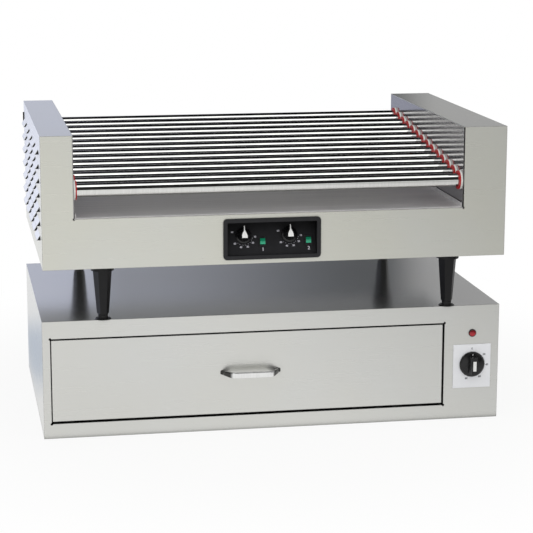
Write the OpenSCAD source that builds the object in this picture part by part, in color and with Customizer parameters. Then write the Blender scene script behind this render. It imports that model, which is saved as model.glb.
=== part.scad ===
// A slanted roller grill on four legs, standing on a heated drawer cabinet.
// X runs from left to right, Y from front to back and Z up.
// The origin is on the floor, in the middle of the whole width and depth.
// Lengths are in millimetres.

/* [Grill case] */
// Width of the grill case
grill_w = 889; // [860:1:920]
// Depth of the grill case
grill_d = 580; // [575:1:590]
// Height of the grill case, without its legs
grill_h = 250.6; // [248:0.1:256]
// Height of the front band, from the underside to the drip tray
band_h = 95; // [93:0.5:97]
// Width of the left tower, which holds the heater wires
tower_l = 60.7; // [58:0.1:66]
// Width of the right tower, which holds the chain
tower_r = 84.3; // [80:0.1:90]
// Thickness of the stainless sheet
sheet = 1.2; // [0.9:0.1:1.5]
// Gap between the front sheet and a tower's inner wall
slot_gap = 1.4; // [1:0.1:2]
// Diameter of the bend relief holes at the corners of openings
relief_d = 4.5; // [3:0.5:6]

/* [Rollers] */
// Number of rollers
roller_n = 14; // [14:1:14]
// Outside diameter of a roller tube
roller_d = 25.4; // [24:0.1:26]
// Wall thickness of a roller tube
roller_wall = 1.2; // [1:0.1:2]
// Distance from one roller to the next
roller_pitch = 40; // [39.5:0.1:41]
// Slope of the roller bed, rising to the back
roller_slope = 6.66; // [5:0.01:7]
// Distance of the first roller's axis behind the grill's front face
roller_first_y = 22.2; // [21:0.1:24]
// Height of the first roller's axis above the grill's underside
roller_first_z = 145.9; // [144:0.1:148]
// Outside diameter of the bearing and of the red seal
ring_d = 37; // [35:0.5:38]
// Running clearance round a roller in its bearing
bearing_gap = 0.06; // [0.03:0.01:0.1]
// Clearance round a roller in its seal
seal_gap = 0.35; // [0.3:0.05:0.6]

/* [Louvres] */
// Length of one louvre
louvre_l = 74; // [60:1:80]
// Height of one louvre
louvre_h = 10; // [8:0.5:12]
// How far a louvre stands out at its lower edge
louvre_out = 6.8; // [4:0.1:8]
// Number of louvre columns
louvre_cols = 5; // [3:1:5]
// Number of louvre rows
louvre_rows = 7; // [4:1:7]
// Distance from one column to the next
louvre_dy = 101.1; // [95:0.1:104]
// Distance from one row to the next
louvre_dz = 27.1; // [24:0.1:28]

/* [Legs] */
// Gap between the cabinet's top and the grill's underside
leg_gap = 104.7; // [102:0.1:112]
// Distance of each leg from the middle of the grill
leg_x = 336.5; // [320:0.5:350]
// Distance of the front and rear legs from the grill's front and back faces
leg_y = 40; // [36:1:60]
// How much further right the front legs stand than the rear legs
leg_shift = 6; // [0:0.5:8]
// Width of a leg's hexagon at the top
leg_top_w = 36; // [32:0.5:40]
// Width of a leg's hexagon at the bottom
leg_bottom_w = 22.9; // [22:0.1:26]
// Diameter of a levelling foot
foot_d = 18.5; // [16:0.5:19]
// Height of a levelling foot that shows below its leg
foot_show = 8.5; // [8:0.5:14]

/* [Cabinet] */
// Width of the drawer cabinet
cab_w = 894.4; // [890:0.1:930]
// Height of the drawer cabinet
cab_h = 229; // [225:1:240]
// Depth of the drawer cabinet
cab_d = 556; // [550:1:570]
// Distance of the cabinet's front behind the grill's front
cab_set_back = 30; // [25:1:40]
// Left edge of the drawer opening, from the cabinet's left side
open_x = 14.9; // [14:0.1:20]
// Width of the dial side, from the drawer opening to the cabinet's right side
dial_side_w = 110; // [105:0.5:116]
// Lower edge of the drawer opening above the floor
open_z = 28.7; // [28:0.1:32]
// Height of the drawer opening
open_h = 166.2; // [160:0.2:168]

/* [Drawer] */
// Gap beside the drawer front on the left
gap_left = 2; // [1.5:0.1:3]
// Gap beside the drawer front on the right
gap_right = 4; // [3:0.1:6]
// Gap over the drawer front
gap_top = 2.8; // [2:0.1:4]
// Gap under the drawer front
gap_bottom = 4.8; // [3:0.1:6]
// Depth of the folded drawer front
front_t = 12; // [10:1:16]
// Length of the drawer box
drawer_l = 480; // [440:1:490]
// Height of the drawer box
drawer_h = 110; // [80:1:120]
// Width of the handle at the drawer face
handle_w = 119; // [110:1:130]
// How far the handle stands out
handle_out = 31; // [26:0.5:31]
// Height of the handle bar
handle_h = 12; // [10:0.5:16]
// Thickness of the handle bar
handle_t = 5; // [4:0.5:7]
// Height of the handle above the floor
handle_z = 115.7; // [105:0.1:125]

/* [Controls] */
// Width of the control panel's frame
bezel_w = 186.8; // [184:0.2:190]
// Height of the control panel's frame
bezel_h = 78.3; // [76:0.1:80]
// How far the control panel's frame stands out
bezel_out = 3; // [2:0.5:3]
// Width of the frame's face round the recess
bezel_rim = 7.5; // [7:0.1:8]
// Depth of the sloping plate at its upper edge
recess_deep = 28; // [24:1:32]
// Diameter of a heat knob's skirt
heat_knob_d = 30; // [28:0.5:32]
// How far a heat knob stands out from the sloping plate
heat_knob_out = 18; // [15:0.5:20]
// Width of the white dial plate
dial_w = 76; // [70:0.5:78]
// Height of the white dial plate
dial_h = 88; // [80:0.5:90]
// Diameter of the warmer knob
warmer_knob_d = 50.5; // [46:0.5:54]
// How far the warmer knob's grip stands out from the cabinet
warmer_knob_out = 23; // [20:0.5:25]
// Diameter of the pilot light
pilot_d = 15.2; // [13:0.2:16]

/* [Chain drive] */
// Pitch of the chain
chain_pitch = 9.525; // [9.525:0.001:9.525]
// Diameter of the chain's rollers
chain_roller_d = 5.08; // [5:0.01:5.2]
// Teeth on the sprocket of each roller
roller_teeth = 10; // [10:1:10]
// Teeth on the motor's sprocket
drive_teeth = 14; // [14:1:14]
// Teeth on the tension sprocket
idler_teeth = 12; // [12:1:12]
// Distance of the motor shaft behind the grill's front face
drive_y = 420; // [416:1:424]
// Height of the motor shaft above the grill's underside
drive_z = 52; // [50:1:56]
// Distance of the tension sprocket behind the grill's front face
idler_y = 190; // [186:1:194]
// Height of the tension sprocket above the grill's underside
idler_z = 54.327; // [50:0.001:58]

/* [Hidden] */
steel = [0.78, 0.78, 0.75];
dark_steel = [0.47, 0.47, 0.48];
chrome = [0.86, 0.87, 0.88];
black = [0.13, 0.13, 0.14];
white = [0.93, 0.93, 0.92];
round_fn = 48;

// Outer faces of the grill case
gx0 = -grill_w / 2;
gx1 = grill_w / 2;
gz0 = cab_h + leg_gap;
gz1 = gz0 + grill_h;
deck_z = gz0 + band_h;
wall_l = gx0 + tower_l;
wall_r = gx1 - tower_r;
back_mid_z = gz0 + 181;
slot_x = (wall_l + wall_r) / 2;
slot_w = wall_r - wall_l;
wall_foot = 14;
motor_hole = 16;
grill_gland_x = wall_l - 28;
grill_gland_z = gz0 + 40;

// Outer faces of the cabinet and its drawer opening
cx0 = -cab_w / 2;
cx1 = cab_w / 2;
cy0 = cab_set_back;
cy1 = cy0 + cab_d;
ox0 = cx0 + open_x;
ox1 = cx1 - dial_side_w;
oz0 = open_z;
oz1 = open_z + open_h;
frame_deep = 15;
divider_x = ox1 + sheet;

// Drawer
dx0 = ox0 + gap_left;
dx1 = ox1 - gap_right;
dz0 = oz0 + gap_bottom;
dz1 = oz1 - gap_top;
box_side = 16;
bx0 = ox0 + box_side;
bx1 = ox1 - box_side;
by0 = cy0 + sheet;
by1 = by0 + drawer_l;
bz0 = dz0 + 7;
bz1 = bz0 + drawer_h;
box_t = 1;
handle_x = (dx0 + dx1) / 2;
rail_z = bz0 + 40;
rail_h = 33;
runner_h = 32.2;
rail_gap = 0.4;

// The whole depth, whose middle is Y = 0
gland_out = 12;
mid_y = (cy1 + gland_out - bezel_out) / 2;

// Dial side of the cabinet
dial_x = (divider_x + cx1) / 2 + 1;
dial_z = 110.2;
dial_t = 0.8;
pilot_z = 172.9;
bulb_x = divider_x + 12;
bulb_y = cy0 + 300;
bulb_z = 208;
bulb_d = 7;
bulb_l = 90;
tube_d = 3;
tube_bend = 5;
cabinet_gland_z = 60;

// Control panel
panel_z = (gz0 + deck_z) / 2;
inner_w = bezel_w - 2 * bezel_rim;
inner_h = bezel_h - 2 * bezel_rim;
plate_front_y = 4;
plate_tilt = atan((recess_deep - plate_front_y) / inner_h);
plate_t = 2;
pair_step = 88.4;
knob_1x = -52.7;
switch_dx = 36.4;
knob_up = 37;
switch_up = 25.7;
shaft_d = 6;
switch_w = 12.6;
switch_h = 15.4;
switch_wall = 1;
pin_d = 2;

// Rollers
function ry(i) = roller_first_y + i * roller_pitch * cos(roller_slope);
function rz(i) = gz0 + roller_first_z + i * roller_pitch * sin(roller_slope);
seal_t = 2.5;
flange_t = 3.5;
spigot_d = 31;
hub_d = 18;
heater_d = 8;
tube_x0 = wall_l - 8;
tube_x1 = wall_r + 8;
comb_x0 = wall_l - 22;
comb_x1 = wall_r + 44;

// Chain: pitch radius of a sprocket with n teeth, and the arc it takes per link
function pitch_r(n) = chain_pitch / (2 * sin(180 / n));
function arc_r(n) = chain_pitch * n / (2 * PI);
chain_x = wall_r + 28;
tooth_w = 4.2;
plate_w = 1;
chain_half = 2.4;

// The four sprockets that the chain bends round, clockwise seen from the right:
// first roller, last roller, motor, tension sprocket
bends = [[ry(0), rz(0), roller_teeth], [ry(roller_n - 1), rz(roller_n - 1), roller_teeth],
    [drive_y, gz0 + drive_z, drive_teeth], [idler_y, gz0 + idler_z, idler_teeth]];
function bend(i) = bends[i % 4];
function span(i) = norm([bend(i + 1)[0] - bend(i)[0], bend(i + 1)[1] - bend(i)[1]]);
function drop_r(i) = pitch_r(bend(i)[2]) - pitch_r(bend(i + 1)[2]);
// Angle of the outward normal on the straight run after sprocket i
function run_normal(i) = atan2(bend(i + 1)[1] - bend(i)[1], bend(i + 1)[0] - bend(i)[0])
    + acos(drop_r(i) / span(i));
function run_length(i) = sqrt(span(i) * span(i) - drop_r(i) * drop_r(i));
function turn(a) = a < 0 ? turn(a + 360) : (a >= 360 ? turn(a - 360) : a);
function wrap(i) = turn(run_normal(i % 4) - run_normal((i + 1) % 4));
function wrap_length(i) = wrap(i) * PI / 180 * arc_r(bend(i + 1)[2]);
seg_len = [for (i = [0:7]) i % 2 == 0 ? run_length(floor(i / 2)) : wrap_length(floor(i / 2))];
function sum_to(i) = i <= 0 ? 0 : seg_len[i - 1] + sum_to(i - 1);
seg_start = [for (i = [0:8]) sum_to(i)];
chain_len = seg_start[8];
links = 2 * round(chain_len / (2 * chain_pitch));
link = chain_len / links;
function seg_of(s, i = 0) = (i >= 7 || s < seg_start[i + 1]) ? i : seg_of(s, i + 1);
function on_run(i, s) = let (n = run_normal(i), r = pitch_r(bend(i)[2]), t = s - seg_start[2 * i])
    [bend(i)[0] + r * cos(n) + t * cos(n - 90), bend(i)[1] + r * sin(n) + t * sin(n - 90)];
function on_arc(i, s) = let (b = bend(i + 1), n = run_normal(i), r = pitch_r(b[2]),
    a = n - (s - seg_start[2 * i + 1]) / arc_r(b[2]) * 180 / PI) [b[0] + r * cos(a), b[1] + r * sin(a)];
// Point of the chain at a distance s along it, counted from above the first roller
function chain_at(s) = let (k = seg_of(s), i = floor(k / 2)) k % 2 == 0 ? on_run(i, s) : on_arc(i, s);
// Direction of a tooth gap that holds a chain roller, for each sprocket
function gap_middle(i) = let (s = i * roller_pitch, d = round(s / link) * link - s)
    90 + roller_slope - atan(d / pitch_r(roller_teeth));
function gap_bend(i) = let (s0 = seg_start[2 * i + 1], s = ceil(s0 / link) * link)
    run_normal(i) - (s - s0) / arc_r(bend(i + 1)[2]) * 180 / PI;
function gap_of(i) = i == roller_n - 1 ? gap_bend(0) : (i == 0 ? 90 + roller_slope : gap_middle(i));
echo(chain_links = links, link_pitch = link, chain_length = chain_len);

// Plain shapes
module placed() { translate([0, -mid_y, 0]) children(); }
module box(x0, x1, y0, y1, z0, z1) { translate([x0, y0, z0]) cube([x1 - x0, y1 - y0, z1 - z0]); }
module cyl_x(x0, x1, y, z, d) {
    translate([x0, y, z]) rotate([0, 90, 0]) cylinder(h = x1 - x0, d = d, $fn = round_fn);
}
module cyl_y(y0, y1, x, z, d) {
    translate([x, y0, z]) rotate([-90, 0, 0]) cylinder(h = y1 - y0, d = d, $fn = round_fn);
}
module cyl_z(z0, z1, x, y, d) {
    translate([x, y, z0]) cylinder(h = z1 - z0, d = d, $fn = round_fn);
}
// Draws a flat outline in the YZ plane and gives it a width along X
module across(x, w) { translate([x, 0, 0]) rotate([90, 0, 90]) linear_extrude(height = w) children(); }
// Draws a flat outline in the XZ plane and gives it a depth along Y
module facing(y, w) { translate([0, y + w, 0]) rotate([90, 0, 0]) linear_extrude(height = w) children(); }
module rounded(w, h, r) {
    square([w - 2 * r, h], center = true);
    square([w, h - 2 * r], center = true);
    for (x = [-1, 1], y = [-1, 1])
        translate([x * (w / 2 - r), y * (h / 2 - r)]) circle(r = r, $fn = round_fn);
}
module rect(x0, x1, z0, z1) { translate([x0, z0]) square([x1 - x0, z1 - z0]); }
module dot(x, z, d) { translate([x, z]) circle(d = d, $fn = round_fn); }

// Cabinet
cab_screw_x = [for (k = [-2:2]) k * (cab_w / 2 - 47.2) / 2];
module cabinet_shell() {
    color(steel) placed() difference() {
        union() {
            box(cx0, cx1, cy0 + sheet, cy1 - sheet, cab_h - sheet, cab_h);
            for (x = [cx0, cx1 - sheet]) box(x, x + sheet, cy0 + sheet, cy1 - sheet, 0, cab_h - sheet);
            box(cx0 + sheet, cx1 - sheet, cy1 - 2 * sheet, cy1 - sheet, cab_h - 16, cab_h - sheet);
        }
        for (x = cab_screw_x) cyl_y(cy1 - 4, cy1, x, cab_h - 9, 4.4);
    }
}

module cabinet_front() {
    color(steel) placed() difference() {
        union() {
            facing(cy0, sheet) difference() {
                rect(cx0, cx1, 0, cab_h);
                rect(ox0, ox1, oz0, oz1);
                for (x = [ox0, ox1], z = [oz0, oz1]) dot(x, z, relief_d);
                dot(dial_x, dial_z, 10);
                dot(dial_x, pilot_z, 12);
            }
            facing(cy0 + sheet, frame_deep) difference() {
                rect(ox0 - sheet, ox1 + sheet, oz0 - sheet, oz1 + sheet);
                rect(ox0, ox1, oz0, oz1);
                for (x = [ox0, ox1], z = [oz0, oz1]) dot(x, z, relief_d + 1);
            }
        }
    }
}

module cabinet_back() {
    color(steel) placed() facing(cy1 - sheet, sheet) difference() {
        rect(cx0, cx1, 0, cab_h);
        for (x = cab_screw_x, z = [9, cab_h - 9]) dot(x, z, 4.4);
        dot(dial_x, cabinet_gland_z, 16.4);
    }
}

module cabinet_base() {
    color(steel) placed() difference() {
        union() {
            box(cx0 + sheet, cx1 - sheet, cy0 + sheet, cy1 - sheet, 0, sheet);
            box(cx0 + sheet, cx1 - sheet, cy1 - 2 * sheet, cy1 - sheet, sheet, 16);
            box(cx0 + sheet, cx1 - sheet, cy0 + sheet, cy0 + 2 * sheet, sheet, 16);
        }
        for (x = cab_screw_x) cyl_y(cy1 - 4, cy1, x, 9, 4.4);
    }
}

element_z = 20;
element_y = [cy0 + 150, cy0 + 390];
module control_divider() {
    color(steel) placed() difference() {
        union() {
            translate([divider_x, 0, 0]) {
                box(0, sheet, cy0 + sheet + frame_deep, cy1 - 2 * sheet, sheet, cab_h - sheet);
                box(sheet, 13, cy0 + 20, cy1 - 2 * sheet, sheet, 2 * sheet);
            }
        }
        for (y = element_y) cyl_x(divider_x - 1, divider_x + 3, y, element_z, 9);
        cyl_x(divider_x - 1, divider_x + 3, bulb_y, bulb_z, tube_d + 1);
    }
}

// A channel on brackets at each side, open towards the drawer
module rail_section() {
    difference() {
        rect(0, 7.4, -rail_h / 2 - 1.5, rail_h / 2 + 1.5);
        rect(1.5, 8, -rail_h / 2, rail_h / 2);
    }
}
rail_out = 11.7;
module drawer_rails() {
    color([0.7, 0.71, 0.72]) placed() {
        translate([bx0 - rail_out, by0 + drawer_l, rail_z]) rotate([90, 0, 0])
            linear_extrude(height = drawer_l - 20) rail_section();
        for (y = [by0 + 60, by0 + 400])
            box(cx0 + sheet, bx0 - rail_out, y, y + 25, rail_z - 12, rail_z + 12);
        mirror([1, 0, 0]) translate([-bx1 - rail_out, by0 + drawer_l, rail_z]) rotate([90, 0, 0])
            linear_extrude(height = drawer_l - 20) rail_section();
        for (y = [by0 + 60, by0 + 400])
            box(bx1 + rail_out, divider_x, y, y + 25, rail_z - 12, rail_z + 12);
    }
}

// Places of the four legs
leg_at = [for (x = [-leg_x, leg_x]) each [[x + leg_shift, leg_y], [x, grill_d - leg_y]]];
cup_h = 1.8;
leg_collar_h = 10;
leg_step_h = 2.4;
module leg_cups() {
    color(black) placed() for (p = leg_at) difference() {
        translate([p[0], p[1], cab_h])
            cylinder(h = cup_h, d1 = foot_d + 13, d2 = foot_d + 10, $fn = round_fn);
        cyl_z(cab_h - 1, cab_h + cup_h + 1, p[0], p[1], foot_d + 1.6);
    }
}

// Tubular heating element: two long runs joined by a bend, on clips
module warmer_element() {
    y0 = element_y[0];
    y1 = element_y[1];
    rb = 40;
    xb = cx0 + 100;
    color([0.45, 0.42, 0.38]) placed() {
        for (y = element_y) cyl_x(xb, divider_x + 30, y, element_z, 8);
        for (s = [[y0 + rb, 180], [y1 - rb, 90]])
            translate([xb, s[0], element_z]) rotate([0, 0, s[1]])
                rotate_extrude(angle = 90, $fn = round_fn)
                    translate([rb, 0]) circle(d = 8, $fn = round_fn);
        translate([xb - rb, y0 + rb, element_z]) rotate([-90, 0, 0])
            cylinder(h = y1 - y0 - 2 * rb, d = 8, $fn = round_fn);
        for (x = [-250, 0, 250], y = element_y) {
            box(x, x + 12, y - 8, y + 8, sheet, element_z - 3);
        }
    }
}

module warmer_controls() {
    color(black) placed() {
        difference() {
            union() {
                box(dial_x - 18, dial_x + 18, cy0 + sheet, cy0 + 30, dial_z - 22, dial_z + 22);
                box(dial_x - 9, dial_x + 9, cy0 + 30, cy0 + 38, dial_z - 14, dial_z + 14);
            }
            cyl_y(cy0, cy0 + 26, dial_x, dial_z, shaft_d + 0.12);
        }
        cyl_y(cy0 + sheet, cy0 + 30, dial_x, pilot_z, 16);
        cyl_x(divider_x - 14, bulb_x - elbow_in, bulb_y, bulb_z, tube_d);
        elbow(bulb_x, bulb_y, bulb_z);
        cyl_y(tube_y + elbow_in, bulb_y - elbow_in, bulb_x, bulb_z, tube_d);
        elbow(bulb_x, tube_y, bulb_z);
        cyl_z(dial_z + elbow_in, bulb_z - elbow_in, bulb_x, tube_y, tube_d);
        elbow(bulb_x, tube_y, dial_z);
        cyl_x(bulb_x + elbow_in, dial_x - 8, tube_y, dial_z, tube_d);
        cyl_y(bulb_y - bulb_l, bulb_y + 4, divider_x - 14, bulb_z, bulb_d);
    }
}

// Bend of the thin tube that joins the sensing bulb to the thermostat
tube_y = cy0 + 36;
elbow_in = tube_d / 2 + 0.2;
module elbow(x, y, z) { translate([x, y, z]) sphere(d = tube_bend, $fn = round_fn); }

module dial_plate() {
    color(white) placed() facing(cy0 - dial_t, dial_t) difference() {
        translate([dial_x, dial_z - 4]) rounded(dial_w, dial_h, 1);
        dot(dial_x, dial_z, 10);
    }
}

module pilot_lens() {
    color([0.7, 0.08, 0.1]) placed() {
        cyl_y(cy0 - 1.5, cy0, dial_x, pilot_z, pilot_d);
        cyl_y(cy0, cy0 + sheet, dial_x, pilot_z, 11.6);
        translate([dial_x, cy0 - 1.5, pilot_z]) rotate([90, 0, 0]) rotate_extrude($fn = round_fn)
            polygon([for (a = [0:10:90]) [6.6 * cos(a), 3.2 * sin(a)], [0, 0]]);
    }
}

// Cord inlet bush with a flange outside and a nut inside
module gland(x, y, z, d, out) {
    difference() {
        union() {
            cyl_y(y, y + 3, x, z, d + 8);
            cyl_y(y, y + out, x, z, d + 1);
            cyl_y(y - sheet - 4, y, x, z, d);
            cyl_y(y - sheet - 6, y - sheet, x, z, d + 6);
        }
        cyl_y(y - 12, y + out + 1, x, z, 9);
    }
}
module cabinet_gland() { color(black) placed() gland(dial_x, cy1, cabinet_gland_z, 16, gland_out); }
module grill_gland() { color(black) placed() gland(grill_gland_x, grill_d, grill_gland_z, 16, gland_out); }

module screw_y(x, y, z) {
    cyl_y(y, y + 1.8, x, z, 7.5);
    cyl_y(y - 5, y, x, z, 4);
}
module cabinet_screws() {
    color(chrome) placed() for (x = cab_screw_x, z = [9, cab_h - 9]) screw_y(x, cy1, z);
}

// Drawer
module drawer_box() {
    color(steel) placed() difference() {
        box(bx0, bx1, by0, by1, bz0, bz1);
        box(bx0 + box_t, bx1 - box_t, by0 + box_t, by1 - box_t, bz0 + box_t, bz1 + 1);
        for (s = [-1, 1]) cyl_y(by0 - 1, by0 + 3, handle_x + s * (handle_w / 2 - 6), handle_z, 4.4);
    }
}

module drawer_front() {
    color(steel) placed() difference() {
        box(dx0, dx1, cy0, cy0 + front_t, dz0, dz1);
        box(dx0 + sheet, dx1 - sheet, cy0 + sheet, cy0 + front_t + 1, dz0 + sheet, dz1 - sheet);
        for (s = [-1, 1]) cyl_y(cy0 - 1, cy0 + 3, handle_x + s * (handle_w / 2 - 6), handle_z, 4.4);
    }
}

module drawer_handle() {
    w = handle_w / 2;
    color(chrome) placed() {
        intersection() {
            translate([handle_x, cy0, handle_z - handle_h / 2]) linear_extrude(height = handle_h)
                polygon([[-w, 0], [-w + 18.5, -handle_out], [w - 18.5, -handle_out], [w, 0],
                    [w - 8, 0], [w - 22, -handle_out + handle_t],
                    [-w + 22, -handle_out + handle_t], [-w + 8, 0]]);
            translate([handle_x, cy0 + 1, handle_z]) rotate([90, 0, 0])
                linear_extrude(height = handle_out + 2)
                    polygon([[-w - 1, -4], [-w + 17, -6], [w - 17, -6], [w + 1, -4],
                        [w + 1, 4], [w - 17, 6], [-w + 17, 6], [-w - 1, 4]]);
        }
        for (s = [-1, 1]) {
            cyl_y(cy0 - 4, cy0 + 6.5, handle_x + s * (w - 6), handle_z, 4);
            cyl_y(by0 + box_t, by0 + box_t + 3, handle_x + s * (w - 6), handle_z, 8);
        }
    }
}

module drawer_runners() {
    color([0.7, 0.71, 0.72]) placed() for (s = [[bx0, -1], [bx1, 1]]) {
        reach = rail_out - 1.5 - rail_gap;
        translate([s[0], 0, 0]) scale([s[1], 1, 1]) {
            box(0, reach - 2, by0 + 10, by1 - 2, rail_z - 6, rail_z + 6);
            box(reach - 2, reach, by0 + 10, by1 - 2, rail_z - runner_h / 2, rail_z + runner_h / 2);
        }
    }
}

module warmer_knob() {
    g = warmer_knob_out;
    color(black) placed() {
        translate([dial_x, cy0 - dial_t - 1, dial_z]) rotate([90, 0, 0]) rotate_extrude($fn = round_fn)
            polygon([[0, 0], [warmer_knob_d / 2, 0], [warmer_knob_d / 2, 2.5], [warmer_knob_d / 2 - 3, 5],
                [13, 8], [0, 8]]);
        translate([dial_x, cy0, dial_z - 17]) linear_extrude(height = 34)
            polygon([[-10, -8], [-5.5, -g], [5.5, -g], [10, -8]]);
        cyl_y(cy0 - 3, cy0 + 24, dial_x, dial_z, shaft_d);
    }
}

// Grill case
grill_screw_x = [gx0 + 29.5, wall_r + tower_r / 2, slot_x - slot_w / 4, slot_x, slot_x + slot_w / 4];
module grill_front() {
    color(steel) placed() facing(0, sheet) difference() {
        rect(gx0, gx1, gz0, gz1);
        rect(wall_l - slot_gap, wall_r + slot_gap, deck_z, gz1 + 1);
        for (x = [wall_l - slot_gap / 2, wall_r + slot_gap / 2]) dot(x, deck_z, relief_d);
        translate([slot_x, panel_z]) square([inner_w + 5, inner_h + 5], center = true);
    }
}

// Louvres: hoods pressed out of the side sheet, open at both ends and below
louvre_y0 = 58.3;
louvre_top_z = gz0 + 213.7 + louvre_h / 2;
module side_sheet() {
    lean = atan(louvre_out / louvre_h);
    difference() {
        box(0, sheet, sheet, grill_d - sheet, 0, grill_h);
        for (c = [0:louvre_cols - 1], r = [0:louvre_rows - 1]) {
            y = louvre_y0 + c * louvre_dy;
            z = louvre_top_z - gz0 - r * louvre_dz;
            box(-1, sheet + 1, y, y + louvre_l, z - louvre_h, z);
        }
    }
    for (c = [0:louvre_cols - 1], r = [0:louvre_rows - 1]) {
        y = louvre_y0 + c * louvre_dy;
        z = louvre_top_z - gz0 - r * louvre_dz;
        translate([0, y + louvre_l, z]) rotate([90, 0, 0]) linear_extrude(height = louvre_l)
            polygon([[0, 0], [-louvre_out, -louvre_h], [-louvre_out + sheet * 0.8, -louvre_h],
                [sheet * 0.9, -0.4], [sheet * 0.9, 0.8], [0, 0.8]]);
    }
}

module grill_side_left() {
    color(steel) placed() difference() {
        union() {
            translate([gx0, 0, gz0]) side_sheet();
            box(gx0 + sheet, wall_l, sheet, grill_d - sheet, gz1 - sheet, gz1);
            box(gx0 + sheet, gx0 + 50, grill_d - 2 * sheet, grill_d - sheet, gz1 - 20, gz1 - sheet);
        }
        cyl_y(grill_d - 5, grill_d, grill_screw_x[0], gz1 - 12, 4.4);
        box(gx0 - 1, gx0 + 2, grill_d - 16, grill_d - 13, gz1 - 52, gz1 - 22);
    }
}

module grill_side_right() {
    color(steel) placed() difference() {
        union() {
            translate([gx1, 0, gz0]) mirror([1, 0, 0]) side_sheet();
            box(wall_r, gx1 - sheet, sheet, grill_d - sheet, gz1 - sheet, gz1);
            box(wall_r + 20, gx1 - sheet, grill_d - 2 * sheet, grill_d - sheet, gz1 - 20, gz1 - sheet);
        }
        cyl_y(grill_d - 5, grill_d, grill_screw_x[1], gz1 - 12, 4.4);
    }
}

// Inner wall of a tower, which carries the bearings and starts a little behind the front sheet
wall_front = sheet + 3.5;
module inner_wall(x, foot) {
    difference() {
        union() {
            box(x, x + sheet, wall_front, grill_d - sheet, gz0 + sheet, gz1 - sheet);
            translate([min(x, x + foot), 0, gz0])
                box(0, wall_foot, wall_front, grill_d - sheet, sheet, 2 * sheet);
        }
        for (i = [0:roller_n - 1]) cyl_x(x - 1, x + 3, ry(i), rz(i), spigot_d);
    }
}
module inner_wall_left() { color(steel) placed() inner_wall(wall_l - sheet, -wall_foot); }
module inner_wall_right() {
    color(steel) placed() difference() {
        inner_wall(wall_r, wall_foot);
        cyl_x(wall_r - 1, wall_r + 3, drive_y, gz0 + drive_z, motor_hole);
        cyl_x(wall_r - 1, wall_r + 3, idler_y, gz0 + idler_z, 6.4);
    }
}

module grill_back() {
    color(steel) placed() facing(grill_d - sheet, sheet) difference() {
        rect(gx0, gx1, gz0, gz1);
        rect(wall_l, wall_r, back_mid_z, gz1 + 1);
        for (x = [grill_screw_x[0], grill_screw_x[1]]) dot(x, gz1 - 12, 4.4);
        for (x = grill_screw_x) dot(x, gz0 + 10, 4.4);
        dot(grill_gland_x, grill_gland_z, 16.4);
    }
}

module grill_base() {
    color(steel) placed() difference() {
        union() {
            box(gx0 + sheet, gx1 - sheet, sheet, grill_d - sheet, gz0, gz0 + sheet);
            box(gx0 + sheet, gx1 - sheet, grill_d - 2 * sheet, grill_d - sheet, gz0 + sheet, gz0 + 18);
        }
        for (x = grill_screw_x) cyl_y(grill_d - 5, grill_d, x, gz0 + 10, 4.4);
        for (p = leg_at) cyl_z(gz0 - 1, gz0 + 3, p[0], p[1], 10);
        for (x = [wall_l, wall_r - sheet])
            box(x - wall_foot - 2, x + wall_foot + 3, grill_d - 4, grill_d, gz0 + sheet, gz0 + 19);
    }
}

module deck() {
    color(dark_steel) placed() {
        box(wall_l, wall_r, sheet, grill_d - sheet, deck_z - sheet, deck_z);
        for (x = [wall_l, wall_r - sheet])
            box(x, x + sheet, sheet, grill_d - sheet, deck_z - 13, deck_z - sheet);
    }
}

tray_gap = 0.3;
tray_h = 9;
tray_y0 = 5;
tray_y1 = grill_d - 20;
module drip_tray() {
    z = deck_z + tray_gap;
    x0 = wall_l + 1.5;
    x1 = wall_r - 1.5;
    color(dark_steel) placed() difference() {
        box(x0, x1, tray_y0, tray_y1, z, z + tray_h);
        box(x0 + 1, x1 - 1, tray_y0 - 1, tray_y1 - 1, z + 1, z + tray_h + 1);
    }
}

module roller_bearings() {
    color(white) placed() for (i = [0:roller_n - 1]) {
        difference() {
            union() {
                cyl_x(wall_l, wall_l + flange_t, ry(i), rz(i), ring_d);
                cyl_x(wall_l - sheet - 4, wall_l, ry(i), rz(i), spigot_d);
            }
            cyl_x(wall_l - 9, wall_l + 9, ry(i), rz(i), roller_d + 2 * bearing_gap);
        }
        difference() {
            union() {
                cyl_x(wall_r - flange_t, wall_r, ry(i), rz(i), ring_d);
                cyl_x(wall_r, wall_r + sheet + 4, ry(i), rz(i), spigot_d);
            }
            cyl_x(wall_r - 9, wall_r + 9, ry(i), rz(i), roller_d + 2 * bearing_gap);
        }
    }
}

module roller_seals() {
    x0 = wall_l + flange_t;
    x1 = wall_r - flange_t - seal_t;
    color([0.72, 0.1, 0.1]) placed() for (i = [0:roller_n - 1], x = [x0, x1]) difference() {
        cyl_x(x, x + seal_t, ry(i), rz(i), ring_d - 0.6);
        cyl_x(x - 1, x + seal_t + 1, ry(i), rz(i), roller_d + 2 * seal_gap);
    }
}

// Rod heaters, still while the rollers turn, held by a comb in each tower
module comb(x, wall_x) {
    reach = roller_n - 1;
    across(x, 2) polygon([[ry(0) - 12, rz(0) - 8], [ry(reach) + 12, rz(reach) - 8],
        [ry(reach) + 12, rz(reach) + 8], [ry(0) - 12, rz(0) + 8]]);
    for (i = [0, 7, reach - 1])
        cyl_x(min(x, wall_x), max(x + 2, wall_x), ry(i) + roller_pitch / 2, rz(i) + 2.3, 5);
}
module roller_heaters() {
    color([0.5, 0.47, 0.43]) placed() {
        for (i = [0:roller_n - 1]) cyl_x(comb_x0 - 8, comb_x1 + 10, ry(i), rz(i), heater_d);
        comb(comb_x0, wall_l - sheet);
        comb(comb_x1, gx1 - sheet);
    }
}

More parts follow.
